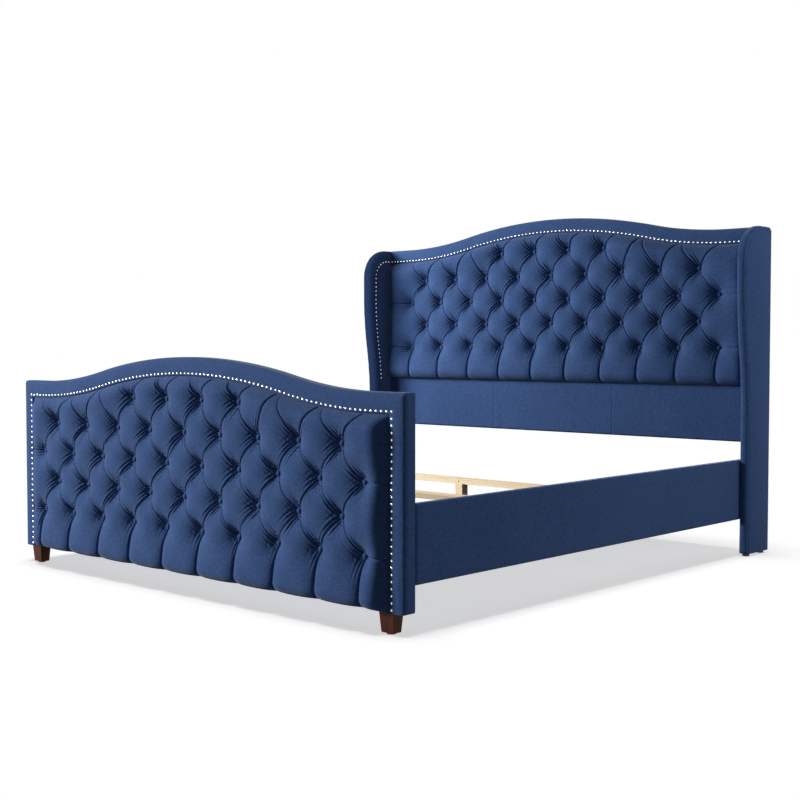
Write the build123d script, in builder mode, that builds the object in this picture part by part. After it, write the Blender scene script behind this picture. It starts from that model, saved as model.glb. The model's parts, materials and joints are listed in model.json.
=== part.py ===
"""Wingback bed for a king mattress: tufted arched boards, padded wings, side rails and slats."""
from build123d import *
from typing import NamedTuple
import math
import os

os.makedirs("parts", exist_ok=True)

# Driving dimensions, in millimetres: the mattress, and the thickness of what stands round it
mattress_width = 1930.0
mattress_length = 2032.0
width_play = 31.0
length_play = 32.0
rail_thickness = 32.0
foot_thickness = 47.5
head_thickness = 60.0
wing_thickness = 38.5

# Heights above the floor
foot_bottom = 65.0
foot_end_top = 712.0
rail_bottom = 147.0
rail_height = 240.0
slat_top = 282.0
head_panel_bottom = 451.0
head_seam = 683.0
head_end_top = 1330.0
floor_gap = 10.0

# The arch along the top of both boards: a flat end, a hollow flank and a round crest
arch_rise = 97.0
arch_flat = 125.5
crest_share = 0.575

# Upholstery: the skin that wraps a board, the front band that carries the nails, and the tufts
wrap = 4.0
band_thickness = 8.0
band_height = 63.0
foot_band_width = 62.0
head_band_width = 12.0
band_round = 7.0
pad_tuck = 2.0
valley_depth = 2.0
tuft_rise = 30.0
panel_thickness = 10.0
panel_round = 6.0

# Buttons, in five rows, and the decorative nails
button_pitch = 190.0
button_rise = 110.5
first_row = 156.0
long_row_count = 10
short_row_count = 9
crest_row_count = 4
button_radius = 11.0
button_height = 9.0
button_round = 4.0
nail_pitch = 21.0
nail_radius = 4.4
nail_height = 2.2
nail_drop = 56.0
nail_side = 52.0

# Tuft form: how far each section draws in towards the middle, and how high it stands
inset_shares = (0.0, 0.09, 0.28, 0.60)
rise_shares = (0.0, 0.50, 0.86, 1.0)
swell_share = 0.16

# Timber inside the boards
deck_thickness = 9.0
back_panel_thickness = 4.0
stile_width = 60.0
bottom_rail_height = 70.0
middle_rail_height = 60.0
arch_rail_depth = 90.0

# Wing outline: the front edge leans forward in an S, and the top front corner is round
wing_depth_low = 179.5
wing_lean = 42.0
lean_start = 572.0
lean_end = 1102.0
wing_corner = 140.0
wing_pad = 14.0
wing_rim = 14.0
wing_hem = 5.0
wing_round = 12.0
wing_panel = 4.5
piping_radius = 2.1
wing_nail_end = 668.0

# Side rails, ledgers, slats and their centre legs
rail_wrap = 4.0
rail_round = 6.0
ledger_width = 25.0
ledger_height = 38.0
ledger_end = 75.0
slat_count = 3
slat_pitch = 500.0
first_slat = 485.0
slat_thickness = 20.0
slat_width = 70.0
slat_play = 3.0
slat_leg_size = 37.0
slat_bore_radius = 3.0
slat_bore_depth = 12.0

# Legs under the footboard and glides
leg_inset = 75.0
leg_top_width = 57.0
leg_top_depth = 45.0
leg_taper = 10.0
leg_edge = 2.0
leg_glide_radius = 14.0
leg_glide_height = 4.0
wing_glide_radius = 14.0
wing_glide_inset = 30.0

# Levellers: a nylon disc on a threaded stem that turns in a nut in the leg's end
leveller_radius = 17.0
leveller_disc = 6.0
leveller_gap = 10.0
stem_radius = 4.0
stem_length = 42.0
stem_clearance = 0.08
nut_radius = 6.0
nut_length = 12.0
nut_flange_radius = 11.0
nut_flange = 1.5
bore_spare = 12.0

# Brackets that join the side rails to the boards
bracket_thickness = 3.0
bracket_leg = 58.0
bracket_bottom = 160.0
bracket_height = 95.0
bracket_bolt_edge = 22.0
bracket_bolt_in = 18.0

# Fasteners
bolt_radius = 4.0
bolt_head_radius = 7.0
bolt_head_height = 5.0
bolt_bite = 20.0
stud_length = 70.0
stud_in_leg = 32.0
wing_bolt_heights = (600.0, 900.0, 1150.0)
wing_bolt_tip = 4.0
screw_radius = 2.2
screw_head_radius = 4.5
screw_head_height = 3.0
screw_bite = 16.0
screw_pitch = 310.0

# Clearances, and one overrun for every cut
fit = 0.3
pad_clearance = 1.2
hole_clearance = 0.2
overrun = 5.0

# Worked-out planes: the bed lies along Y, with its middle over the origin and its foot at -Y
crown_proud = tuft_rise - valley_depth
half_width = (mattress_width + width_play) / 2 + rail_thickness
inner_length = mattress_length + length_play
bed_length = crown_proud + foot_thickness + inner_length + head_thickness
foot_front = crown_proud - bed_length / 2
foot_back = foot_front + foot_thickness
head_front = foot_back + inner_length
head_back = head_front + head_thickness
rail_inner = half_width - rail_thickness
skin = wrap + fit
board_inner = half_width - skin
stile_inner = board_inner - stile_width
deck_depth = band_thickness + deck_thickness
stile_front = head_front + deck_depth
rail_middle = (foot_back + stile_front) / 2

# Arch geometry: two tangent arcs a side, which turn by the same angle
arch_span = half_width - arch_flat
arch_angle = 2 * math.atan(arch_rise / arch_span)
crest_radius = crest_share * arch_span / math.sin(arch_angle)
flank_radius = (1 - crest_share) * arch_span / math.sin(arch_angle)

# Wing geometry: the S is two tangent arcs of one radius
wing_low = head_back - wing_depth_low
wing_front = wing_low - wing_lean
lean_angle = 2 * math.atan(wing_lean / (lean_end - lean_start))
lean_radius = (lean_end - lean_start) / (2 * math.sin(lean_angle))
wing_panel_plane = half_width + wing_thickness - wing_panel


class Board(NamedTuple):
    """An upholstered board: its planes along Y, its heights and the reach of its tufted pad."""
    front: float
    back: float
    bottom: float
    end_top: float
    pad_half: float
    pad_bottom: float


foot = Board(foot_front, foot_back, foot_bottom, foot_end_top,
             half_width - foot_band_width, foot_bottom + pad_tuck)
head = Board(head_front, head_back, head_panel_bottom, head_end_top,
             half_width - head_band_width, head_seam)


class Fasteners(NamedTuple):
    """A set of like fasteners: their seat, facing the way the shanks point, and their places on it."""
    seat: Plane
    places: list
    shank: float
    length: float
    head: float
    head_height: float
    sunk: bool


def to_foot(y):
    """The upright plane at y that faces the foot end. Its own axes run along X and Z."""
    return Plane.XZ.offset(-y)


def to_head(y):
    """The upright plane at y that faces the head end. Its own axes run along -X and Z."""
    return Plane(origin=(0, y, 0), x_dir=(-1, 0, 0), z_dir=(0, 1, 0))


def to_right(x):
    """The upright plane at x that faces +X. Its own axes run along Y and Z."""
    return Plane.YZ.offset(x)


def to_left(x):
    """The upright plane at x that faces -X. Its own axes run along -Y and Z."""
    return Plane(origin=(x, 0, 0), x_dir=(0, -1, 0), z_dir=(-1, 0, 0))


def to_floor(z):
    """The level plane at z that faces down. Its own axes run along X and -Y."""
    return Plane(origin=(0, 0, z), x_dir=(1, 0, 0), z_dir=(0, 0, -1))


def keep(piece, name):
    """Labels a finished piece and writes it."""
    piece.label = name
    export_step(piece, f"parts/{name}.step")


def keep_pair(piece, name):
    """Writes a piece of the right side, and its mirror image on the left."""
    keep(piece, f"{name}_right")
    with BuildPart() as other:
        mirror(piece, about=Plane.YZ)
    keep(other.part, f"{name}_left")


def drill(fasteners):
    """Bores the piece in hand for a set of fasteners, and sinks their heads where they are sunk."""
    with BuildSketch(fasteners.seat.offset(-overrun)) as bores:
        with Locations(*fasteners.places):
            Circle(fasteners.shank + hole_clearance)
    extrude(bores.sketch, amount=overrun + fasteners.length + hole_clearance, mode=Mode.SUBTRACT)
    if fasteners.sunk:
        with BuildSketch(fasteners.seat) as sinks:
            with Locations(*fasteners.places):
                Circle(fasteners.head + hole_clearance)
        extrude(sinks.sketch, amount=-fasteners.head_height - overrun, mode=Mode.SUBTRACT)


def lay_fasteners(fasteners):
    """Adds the fasteners themselves: each shank, and its head behind the seat."""
    with BuildSketch(fasteners.seat) as shanks:
        with Locations(*fasteners.places):
            Circle(fasteners.shank)
    extrude(shanks.sketch, amount=fasteners.length)
    if fasteners.head_height:
        with BuildSketch(fasteners.seat) as heads:
            with Locations(*fasteners.places):
                Circle(fasteners.head)
        extrude(heads.sketch, amount=-fasteners.head_height)


def flank_point(end_top, drop, angle):
    """A point on the hollow flank, drop below the board's edge."""
    radius = flank_radius + drop
    return arch_span - radius * math.sin(angle), end_top + flank_radius - radius * math.cos(angle)


def crest_point(end_top, drop, angle):
    """A point on the round crest, drop below the board's edge."""
    radius = crest_radius - drop
    return radius * math.sin(angle), end_top + arch_rise - crest_radius + radius * math.cos(angle)


def arch_height(x, end_top, drop):
    """The height of the arch, drop below the board's edge, at a distance x from the middle."""
    turn = crest_point(end_top, drop, arch_angle)[0]
    if abs(x) < turn:
        return crest_point(end_top, drop, math.asin(abs(x) / (crest_radius - drop)))[1]
    if abs(x) < arch_span:
        angle = math.asin((arch_span - abs(x)) / (flank_radius + drop))
        return flank_point(end_top, drop, angle)[1]
    return end_top - drop


def arch_edge(half, end_top, drop):
    """Draws the arch from the right end to the left one, drop below the board's edge."""
    level = end_top - drop
    turn = flank_point(end_top, drop, arch_angle)
    bend = flank_point(end_top, drop, arch_angle / 2)
    crest = crest_point(end_top, drop, 0)
    Line((half, level), (arch_span, level))
    ThreePointArc((arch_span, level), bend, turn)
    ThreePointArc(turn, crest, (-turn[0], turn[1]))
    ThreePointArc((-turn[0], turn[1]), (-bend[0], bend[1]), (-arch_span, level))
    Line((-arch_span, level), (-half, level))


def arched_face(half, bottom, end_top, drop):
    """Draws a board's face: square below, arched above."""
    with BuildLine() as outline:
        arch_edge(half, end_top, drop)
        Polyline((-half, end_top - drop), (-half, bottom), (half, bottom), (half, end_top - drop))
    make_face(outline.edges())


def row_places(count):
    """Where the buttons of one row stand along X."""
    return [(i - (count - 1) / 2) * button_pitch for i in range(count)]


def row_heights(board):
    """How high the five rows of buttons stand."""
    return [board.pad_bottom + first_row + button_rise * i for i in range(5)]


def button_places(board):
    """Every button of one board, as X and Z."""
    counts = (long_row_count, short_row_count, long_row_count, short_row_count, crest_row_count)
    return [(x, z) for count, z in zip(counts, row_heights(board)) for x in row_places(count)]


def pad_top(x, board):
    """The height of the pad's upper edge."""
    return arch_height(x, board.end_top, band_height + pad_clearance)


def tuft_outlines(board):
    """The corners of each tuft, in order, and whether its first side follows the arch."""
    z0, z1, z2, z3, z4 = row_heights(board)
    side = board.pad_half - pad_clearance
    low = board.pad_bottom
    half = button_pitch / 2
    long_row = row_places(long_row_count)
    short_row = row_places(short_row_count)
    crest_row = row_places(crest_row_count)
    outer = long_row[-1]
    last = short_row[-1]
    diamonds = [(x, z1) for x in long_row[1:-1]]
    diamonds += [(x, z2) for x in short_row]
    diamonds += [(x, z3) for x in crest_row]
    outlines = [([(x + half, z), (x, z + button_rise), (x - half, z), (x, z - button_rise)], False)
                for x, z in diamonds]
    outlines += [([(x - half, low), (x + half, low), (x + half, z0), (x, z1), (x - half, z0)], False)
                 for x in short_row]
    crest_gaps = [x for x in short_row if abs(x) < crest_row[-1]]
    flank_gaps = [x for x in long_row[1:-1] if abs(x) > crest_row[-1] + half]
    for gaps, peak, valley in ((crest_gaps, z4, z3), (flank_gaps, z3, z2)):
        for x in gaps:
            outlines.append(([(x + half, pad_top(x + half, board)), (x - half, pad_top(x - half, board)),
                              (x - half, peak), (x, valley), (x + half, peak)], True))
    inner = crest_row[-1]
    step = inner + half
    one_side = [
        ([(step, pad_top(step, board)), (inner, pad_top(inner, board)), (inner, z4), (step, z3)], True),
        ([(side, pad_top(side, board)), (last, pad_top(last, board)), (last, z3), (outer, z2),
          (side, z2)], True),
        ([(side, z2), (outer, z2), (last, z1), (outer, z0), (side, z0)], False),
        ([(side, z0), (outer, z0), (outer, low), (side, low)], False),
    ]
    for corners, arched in one_side:
        outlines.append((corners, arched))
        flipped = [(-x, z) for x, z in corners]
        first = [flipped[1], flipped[0]]
        outlines.append((first + flipped[:1:-1], arched))
    return outlines


def tuft(corners, arched, board):
    """One stuffed tuft: its sides draw in and round over from the pleats to a low crown."""
    middle = Vector(sum(x for x, z in corners), sum(z for x, z in corners)) / len(corners)
    with BuildPart() as pillow:
        for inset, rise in zip(inset_shares, rise_shares):
            with BuildSketch(to_foot(board.front + valley_depth).offset(tuft_rise * rise)):
                with BuildLine():
                    for i, corner in enumerate(corners):
                        start = Vector(*corner)
                        end = Vector(*corners[(i + 1) % len(corners)])
                        between = (start + end) / 2
                        on_arch = arched and i == 0
                        if on_arch:
                            between = Vector(between.X, pad_top(between.X, board))
                        swell = (between - middle).normalized() * ((end - start).length * inset * swell_share)
                        start = start + (middle - start) * inset
                        end = end + (middle - end) * inset
                        between = between + (middle - between) * inset + swell
                        if on_arch or inset:
                            ThreePointArc(start, between, end)
                        else:
                            Line(start, end)
                make_face()
        loft()
    return pillow.part


def tufted_pad(board):
    """The whole tufted pad: a thin base, one tuft in each gap of the pleats, and button wells."""
    half = board.pad_half - pad_clearance
    inner = row_places(crest_row_count)
    breaks = [x for x in inner if x > 0]
    breaks += [x for x in row_places(short_row_count) if x > inner[-1]]
    breaks = [-half] + [-x for x in reversed(breaks)] + breaks + [half]
    base_back = board.front + band_thickness
    base_thickness = band_thickness - valley_depth
    tufts = [tuft(corners, arched, board) for corners, arched in tuft_outlines(board)]
    with BuildPart() as pad:
        with BuildSketch(to_foot(base_back)):
            with BuildLine():
                for left, right in zip(breaks, breaks[1:]):
                    between = (left + right) / 2
                    ThreePointArc((left, pad_top(left, board)), (between, pad_top(between, board)),
                                  (right, pad_top(right, board)))
                Polyline((half, pad_top(half, board)), (half, board.pad_bottom),
                         (-half, board.pad_bottom), (-half, pad_top(half, board)))
            make_face()
        extrude(amount=base_thickness)
        add(tufts)
        with BuildSketch(to_foot(board.front + valley_depth)):
            with Locations(*button_places(board)):
                Circle(button_radius + fit)
        extrude(amount=tuft_rise + overrun, mode=Mode.SUBTRACT)
    return pad.part


def button_set(board):
    """The covered buttons, each seated at the bottom of its well."""
    with BuildPart() as buttons:
        with BuildSketch(to_foot(board.front + valley_depth)):
            with Locations(*button_places(board)):
                Circle(button_radius)
        extrude(amount=button_height)
        rims = buttons.edges().filter_by(GeomType.CIRCLE).group_by(Axis.Y)[0]
        fillet(rims, radius=button_round)
    return buttons.part


def nail_head():
    """One domed nail head, standing on the XY plane."""
    sphere = (nail_radius ** 2 + nail_height ** 2) / (2 * nail_height)
    half_turn = math.asin(nail_radius / sphere) / 2
    shoulder = (sphere * math.sin(half_turn), nail_height - sphere + sphere * math.cos(half_turn))
    with BuildPart() as nail:
        with BuildSketch(Plane.XZ):
            with BuildLine():
                Polyline((0, nail_height), (0, 0), (nail_radius, 0))
                ThreePointArc((nail_radius, 0), shoulder, (0, nail_height))
            make_face()
        revolve(axis=Axis.Z)
    return nail.part


def spaced(wire):
    """Places along a wire, a nail's pitch apart as near as a whole number of nails allows."""
    count = round(wire.length / nail_pitch)
    return [wire.position_at(i / count) for i in range(count + 1)]


def nail_set(plane, places):
    """A set of nail heads on a flat face."""
    with BuildPart() as nails:
        with Locations(*[plane.location * Location((spot.X, spot.Y, 0)) for spot in places]):
            add(nail_head())
    return nails.part


def arch_nails(board, half):
    """Nail places along the arch of a board."""
    with BuildLine() as row:
        arch_edge(half, board.end_top, nail_drop)
    return spaced(row.wire())


def board_cover(board):
    """The skin that wraps a board's edges, with its front band and the opening for the pads."""
    depth = board.back - board.front
    with BuildPart() as cover:
        with BuildSketch(to_foot(board.back)):
            arched_face(half_width, board.bottom, board.end_top, 0)
        extrude(amount=depth)
        front_edges = cover.faces().sort_by(Axis.Y)[0].outer_wire().edges()
        fillet(front_edges.filter_by(lambda e: e.center().Z > board.bottom), radius=band_round)
        with BuildSketch(to_foot(board.back)):
            arched_face(half_width - wrap, board.bottom + wrap, board.end_top, wrap)
        extrude(amount=depth - band_thickness, mode=Mode.SUBTRACT)
        with BuildSketch(to_foot(board.front + band_thickness)):
            arched_face(board.pad_half, board.bottom - overrun, board.end_top, band_height)
        extrude(amount=band_thickness + overrun, mode=Mode.SUBTRACT)
    return cover.part


def board_plate(board, front, back):
    """An arched sheet that fills a board inside its skin."""
    with BuildPart() as sheet:
        with BuildSketch(to_foot(back)):
            arched_face(board_inner, board.bottom + skin, board.end_top, skin)
        extrude(amount=back - front)
    return sheet.part


def arch_rail(board):
    """The timber under the arch, cut square below and between the stiles."""
    with BuildPart() as rail:
        with BuildSketch(to_foot(board.back - back_panel_thickness)):
            arched_face(board_inner, board.end_top - arch_rail_depth, board.end_top, skin)
            Rectangle(2 * stile_inner, 2 * (board.end_top + arch_rise), mode=Mode.INTERSECT)
        extrude(amount=timber_thickness(board))
    return rail.part


def timber_thickness(board):
    """The thickness of the timber between a board's deck and its back panel."""
    return board.back - back_panel_thickness - board.front - deck_depth


def wing_edge(inset, bottom, back):
    """Draws the front and top edge of a wing, from the floor up and round to its back."""
    angle = lean_angle
    hollow = lean_radius + inset
    round_radius = lean_radius - inset
    hollow_middle = wing_low - lean_radius
    round_middle = wing_front + lean_radius
    turn = (hollow_middle + hollow * math.cos(angle), lean_start + hollow * math.sin(angle))
    low_bend = (hollow_middle + hollow * math.cos(angle / 2), lean_start + hollow * math.sin(angle / 2))
    high_bend = (round_middle - round_radius * math.cos(angle / 2),
                 lean_end - round_radius * math.sin(angle / 2))
    corner_middle = (wing_front + wing_corner, head_end_top - wing_corner)
    corner_reach = (wing_corner - inset) * math.sin(math.pi / 4)
    corner_bend = (corner_middle[0] - corner_reach, corner_middle[1] + corner_reach)
    Line((wing_low + inset, bottom), (wing_low + inset, lean_start))
    ThreePointArc((wing_low + inset, lean_start), low_bend, turn)
    ThreePointArc(turn, high_bend, (wing_front + inset, lean_end))
    Line((wing_front + inset, lean_end), (wing_front + inset, corner_middle[1]))
    ThreePointArc((wing_front + inset, corner_middle[1]), corner_bend,
                  (corner_middle[0], head_end_top - inset))
    Line((corner_middle[0], head_end_top - inset), (back, head_end_top - inset))


def wing_face(inset, bottom, back):
    """Draws a wing's side face."""
    with BuildLine() as outline:
        wing_edge(inset, bottom, back)
        Polyline((back, head_end_top - inset), (back, bottom), (wing_low + inset, bottom))
    make_face(outline.edges())


# Fastener sets of the right side
stile_depth_middle = (stile_front + head_back - back_panel_thickness) / 2
wing_bolts = Fasteners(to_right(stile_inner), [(stile_depth_middle, z) for z in wing_bolt_heights],
                       bolt_radius, wing_panel_plane - stile_inner - wing_bolt_tip,
                       bolt_head_radius, bolt_head_height, False)
left_wing_bolts = wing_bolts._replace(seat=to_left(-stile_inner),
                                      places=[(-y, z) for y, z in wing_bolts.places])
leg_x = half_width - leg_inset
leg_y = (foot_front + foot_back) / 2
leg_studs = Fasteners(Plane.XY.offset(foot_bottom - stud_in_leg), [(leg_x, leg_y), (-leg_x, leg_y)],
                      bolt_radius, stud_length, bolt_radius, 0, False)
bracket_rows = [bracket_bottom + bracket_bolt_edge,
                bracket_bottom + bracket_height - bracket_bolt_edge]
bracket_bolt_x = rail_inner - bracket_bolt_in
board_bolt_length = bracket_thickness + back_panel_thickness + bolt_bite
foot_bolts = Fasteners(to_foot(foot_back + bracket_thickness), [(bracket_bolt_x, z) for z in bracket_rows],
                       bolt_radius, board_bolt_length, bolt_head_radius, bolt_head_height, False)
head_bolts = Fasteners(to_head(stile_front - bracket_thickness), [(-bracket_bolt_x, z) for z in bracket_rows],
                       bolt_radius, board_bolt_length, bolt_head_radius, bolt_head_height, False)
rail_bolt_y = bracket_leg - bracket_bolt_in
rail_bolt_ends = [foot_back + rail_bolt_y, stile_front - rail_bolt_y]
rail_bolts = Fasteners(to_right(rail_inner - bracket_thickness),
                       [(y, z) for y in rail_bolt_ends for z in bracket_rows],
                       bolt_radius, bracket_thickness + rail_wrap + bolt_bite,
                       bolt_head_radius, bolt_head_height, False)
ledger_top = slat_top - slat_thickness
ledger_start = foot_back + ledger_end
ledger_length = stile_front - foot_back - 2 * ledger_end
ledger_screw_count = round(ledger_length / screw_pitch)
ledger_screw_step = ledger_length / ledger_screw_count
ledger_screws = Fasteners(to_right(rail_inner - ledger_width),
                          [(ledger_start + ledger_screw_step * (i + 1 / 2), ledger_top - ledger_height / 2)
                           for i in range(ledger_screw_count)],
                          screw_radius, ledger_width + rail_wrap + screw_bite,
                          screw_head_radius, screw_head_height, False)
slat_y = [foot_front + first_slat + slat_pitch * i for i in range(slat_count)]
slat_leg_y = [y - (slat_width - slat_leg_size) / 2 for y in slat_y]
slat_half = rail_inner - slat_play
slat_screw_x = rail_inner - ledger_width / 2
slat_screws = Fasteners(to_floor(slat_top - screw_head_height),
                        [(x, -y) for y in slat_y for x in (-slat_screw_x, slat_screw_x)]
                        + [(0, -y) for y in slat_leg_y],
                        screw_radius, slat_thickness + screw_bite,
                        screw_head_radius, screw_head_height, True)


# Tufted pads, buttons, covers and decks of the two boards
for side_name, board in (("footboard", foot), ("headboard", head)):
    keep(tufted_pad(board), f"{side_name}_tufted_pad")
    keep(button_set(board), f"{side_name}_buttons")
    deck_front = board.front + band_thickness
    keep(board_plate(board, deck_front, deck_front + deck_thickness), f"{side_name}_deck")
    keep(arch_rail(board), f"{side_name}_arch_rail")

# Footboard cover, bored for the studs of the legs
with BuildPart() as footboard_cover:
    add(board_cover(foot))
    drill(leg_studs)
keep(footboard_cover.part, "footboard_cover")

# Headboard cover, bored for the wing bolts and notched where the stiles run on down
stile_middle = stile_inner + stile_width / 2
with BuildPart() as headboard_cover:
    add(board_cover(head))
    drill(wing_bolts)
    drill(left_wing_bolts)
    with BuildSketch(to_foot(head_back - back_panel_thickness + fit)):
        with Locations((stile_middle, head_panel_bottom), (-stile_middle, head_panel_bottom)):
            Rectangle(stile_width + 2 * fit, 2 * skin)
    extrude(amount=timber_thickness(head) + 2 * fit, mode=Mode.SUBTRACT)
keep(headboard_cover.part, "headboard_cover")

# Footboard nails: the arch, and a column down each side of the tufted pad
nail_x = half_width - nail_side
with BuildLine() as nail_column:
    Line((nail_x, foot_end_top - nail_drop), (nail_x, foot_bottom + nail_pitch / 2))
column = spaced(nail_column.wire())[1:]
foot_nails = arch_nails(foot, nail_x) + column + [Vector(-spot.X, spot.Y) for spot in column]
keep(nail_set(to_foot(foot_front), foot_nails), "footboard_nails")

# Headboard nails: the arch alone, as far as the wings
keep(nail_set(to_foot(head_front), arch_nails(head, half_width - nail_pitch / 2)), "headboard_nails")

# Footboard back panel, bored for the bracket bolts
with BuildPart() as footboard_back_panel:
    add(board_plate(foot, foot_back - back_panel_thickness, foot_back))
    drill(foot_bolts)
    drill(foot_bolts._replace(places=[(-x, z) for x, z in foot_bolts.places]))
keep(footboard_back_panel.part, "footboard_back_panel")

# Headboard back panel
keep(board_plate(head, head_back - back_panel_thickness, head_back), "headboard_back_panel")

# Headboard lower panel: plain and lightly padded, between the tufts and the panel's lower edge
with BuildPart() as headboard_lower_panel:
    panel_low = head_panel_bottom + wrap
    panel_high = head_seam - fit
    with BuildSketch(to_foot(head_front + band_thickness)):
        with Locations((0, (panel_low + panel_high) / 2)):
            Rectangle(2 * (head.pad_half - fit), panel_high - panel_low)
    extrude(amount=panel_thickness)
    fillet(headboard_lower_panel.faces().sort_by(Axis.Y)[0].edges(), radius=panel_round)
keep(headboard_lower_panel.part, "headboard_lower_panel")

# Footboard stile
with BuildPart() as footboard_stile:
    stile_low = foot_bottom + skin
    stile_high = foot_end_top - skin
    with BuildSketch(to_foot(foot_back - back_panel_thickness)):
        with Locations((stile_middle, (stile_low + stile_high) / 2)):
            Rectangle(stile_width, stile_high - stile_low)
    extrude(amount=timber_thickness(foot))
    drill(foot_bolts)
keep_pair(footboard_stile.part, "footboard_stile")

# Headboard stile: runs on down to carry the side rail and to stand beside the wing
with BuildPart() as headboard_stile:
    stile_high = head_end_top - skin
    with BuildSketch(to_foot(head_back - back_panel_thickness)):
        with Locations((stile_middle, (floor_gap + stile_high) / 2)):
            Rectangle(stile_width, stile_high - floor_gap)
    extrude(amount=timber_thickness(head))
    drill(wing_bolts)
    drill(head_bolts)
keep_pair(headboard_stile.part, "headboard_stile")

# Footboard bottom rail, bored for the studs of the legs
with BuildPart() as footboard_bottom_rail:
    with BuildSketch(to_foot(foot_back - back_panel_thickness)):
        with Locations((0, foot_bottom + skin + bottom_rail_height / 2)):
            Rectangle(2 * stile_inner, bottom_rail_height)
    extrude(amount=timber_thickness(foot))
    drill(leg_studs)
keep(footboard_bottom_rail.part, "footboard_bottom_rail")

# Headboard cross rails: one along the lower edge, one behind the seam of the tufted pad
cross_rails = (("headboard_bottom_rail", head_panel_bottom + skin, bottom_rail_height),
               ("headboard_middle_rail", head_seam - middle_rail_height / 2, middle_rail_height))
for rail_name, rail_low, rail_tall in cross_rails:
    with BuildPart() as cross_rail:
        with BuildSketch(to_foot(head_back - back_panel_thickness)):
            with Locations((0, rail_low + rail_tall / 2)):
                Rectangle(2 * stile_inner, rail_tall)
        extrude(amount=timber_thickness(head))
    keep(cross_rail.part, rail_name)

# Wing pad: the soft inner face, with a rim that turns round the core and a rounded front edge
with BuildPart() as wing_inner_pad:
    with BuildSketch(to_right(half_width)):
        wing_face(0, floor_gap, head_back)
    extrude(amount=wing_thickness - wing_panel)
    inner_edges = wing_inner_pad.faces().sort_by(Axis.X)[0].outer_wire().edges()
    inner_edges = inner_edges.filter_by(lambda e: floor_gap < e.center().Z and e.center().Y < head_back)
    fillet(inner_edges, radius=wing_round)
    with BuildSketch(to_right(half_width + wing_pad)):
        wing_face(wing_rim, floor_gap + wing_hem, head_back - wing_hem)
    extrude(amount=wing_thickness, mode=Mode.SUBTRACT)
    drill(wing_bolts)
keep_pair(wing_inner_pad.part, "wing_inner_pad")

# Wing core: the board inside the wing
with BuildPart() as wing_core:
    with BuildSketch(to_right(half_width + wing_pad)):
        wing_face(wing_rim + fit, floor_gap + wing_hem, head_back - wing_hem)
    extrude(amount=wing_panel_plane - half_width - wing_pad)
    drill(wing_bolts)
keep_pair(wing_core.part, "wing_core")

# Wing outer panel: flat, set back from the edge by the width of the piping
with BuildPart() as wing_outer_panel:
    with BuildSketch(to_right(wing_panel_plane)):
        wing_face(2 * piping_radius + fit, floor_gap, head_back)
    extrude(amount=wing_panel)
keep_pair(wing_outer_panel.part, "wing_outer_panel")

# Wing piping: a cord along the seam between the wing's front edge and its outer panel
with BuildPart() as wing_piping:
    with BuildLine(to_right(wing_panel_plane + piping_radius)) as seam:
        wing_edge(piping_radius, floor_gap, head_back)
    with BuildSketch(Plane(origin=seam.wire() @ 0, z_dir=seam.wire() % 0)):
        Circle(piping_radius)
    sweep(path=seam.wire())
keep_pair(wing_piping.part, "wing_piping")

# Wing nails: on the inner face, a nail's drop behind the edge, from above the rail to the headboard
with BuildLine() as wing_nail_row:
    wing_edge(nail_drop, floor_gap, head_front - nail_pitch / 2)
wing_nail_places = [Vector(-spot.X, spot.Y) for spot in spaced(wing_nail_row.wire())
                    if spot.Y >= wing_nail_end]
keep_pair(nail_set(to_left(half_width), wing_nail_places), "wing_nails")

# Wing glides: nylon discs under the front and the back of each wing
with BuildPart() as wing_glides:
    glide_x = half_width + wing_thickness / 2
    glide_y = (wing_low + wing_glide_inset, head_back - wing_glide_inset)
    with BuildSketch():
        with Locations(*[(x, y) for x in (glide_x, -glide_x) for y in glide_y]):
            Circle(wing_glide_radius)
    extrude(amount=floor_gap)
keep(wing_glides.part, "wing_glides")

# Footboard legs: square, tapered to the floor, bored for their studs
with BuildPart() as footboard_leg:
    with BuildSketch(Plane.XY.offset(leg_glide_height)):
        with Locations((leg_x, leg_y)):
            Rectangle(leg_top_width - leg_taper, leg_top_depth - leg_taper)
    with BuildSketch(Plane.XY.offset(foot_bottom)):
        with Locations((leg_x, leg_y)):
            Rectangle(leg_top_width, leg_top_depth)
    loft()
    fillet(footboard_leg.faces().sort_by(Axis.Z)[0].edges(), radius=leg_edge)
    drill(leg_studs)
keep_pair(footboard_leg.part, "footboard_leg")

# Leg glides
with BuildPart() as leg_glides:
    with BuildSketch():
        with Locations((leg_x, leg_y), (-leg_x, leg_y)):
            Circle(leg_glide_radius)
    extrude(amount=leg_glide_height)
keep(leg_glides.part, "leg_glides")

# Side rail: a board in a soft wrap, from the footboard's back to the headboard's stile
rail_length = stile_front - foot_back
with BuildPart() as side_rail_board:
    with BuildSketch(to_foot(stile_front)):
        with Locations((half_width - rail_thickness / 2, rail_bottom + rail_height / 2)):
            Rectangle(rail_thickness - 2 * rail_wrap, rail_height - 2 * rail_wrap)
    extrude(amount=rail_length)
    drill(rail_bolts)
    drill(ledger_screws)
keep_pair(side_rail_board.part, "side_rail_board")

with BuildPart() as side_rail_cover:
    with BuildSketch(to_foot(stile_front)):
        with Locations((half_width - rail_thickness / 2, rail_bottom + rail_height / 2)):
            RectangleRounded(rail_thickness, rail_height, rail_round)
            Rectangle(rail_thickness - 2 * rail_wrap, rail_height - 2 * rail_wrap, mode=Mode.SUBTRACT)
    extrude(amount=rail_length)
    drill(rail_bolts)
    drill(ledger_screws)
keep_pair(side_rail_cover.part, "side_rail_cover")

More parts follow.
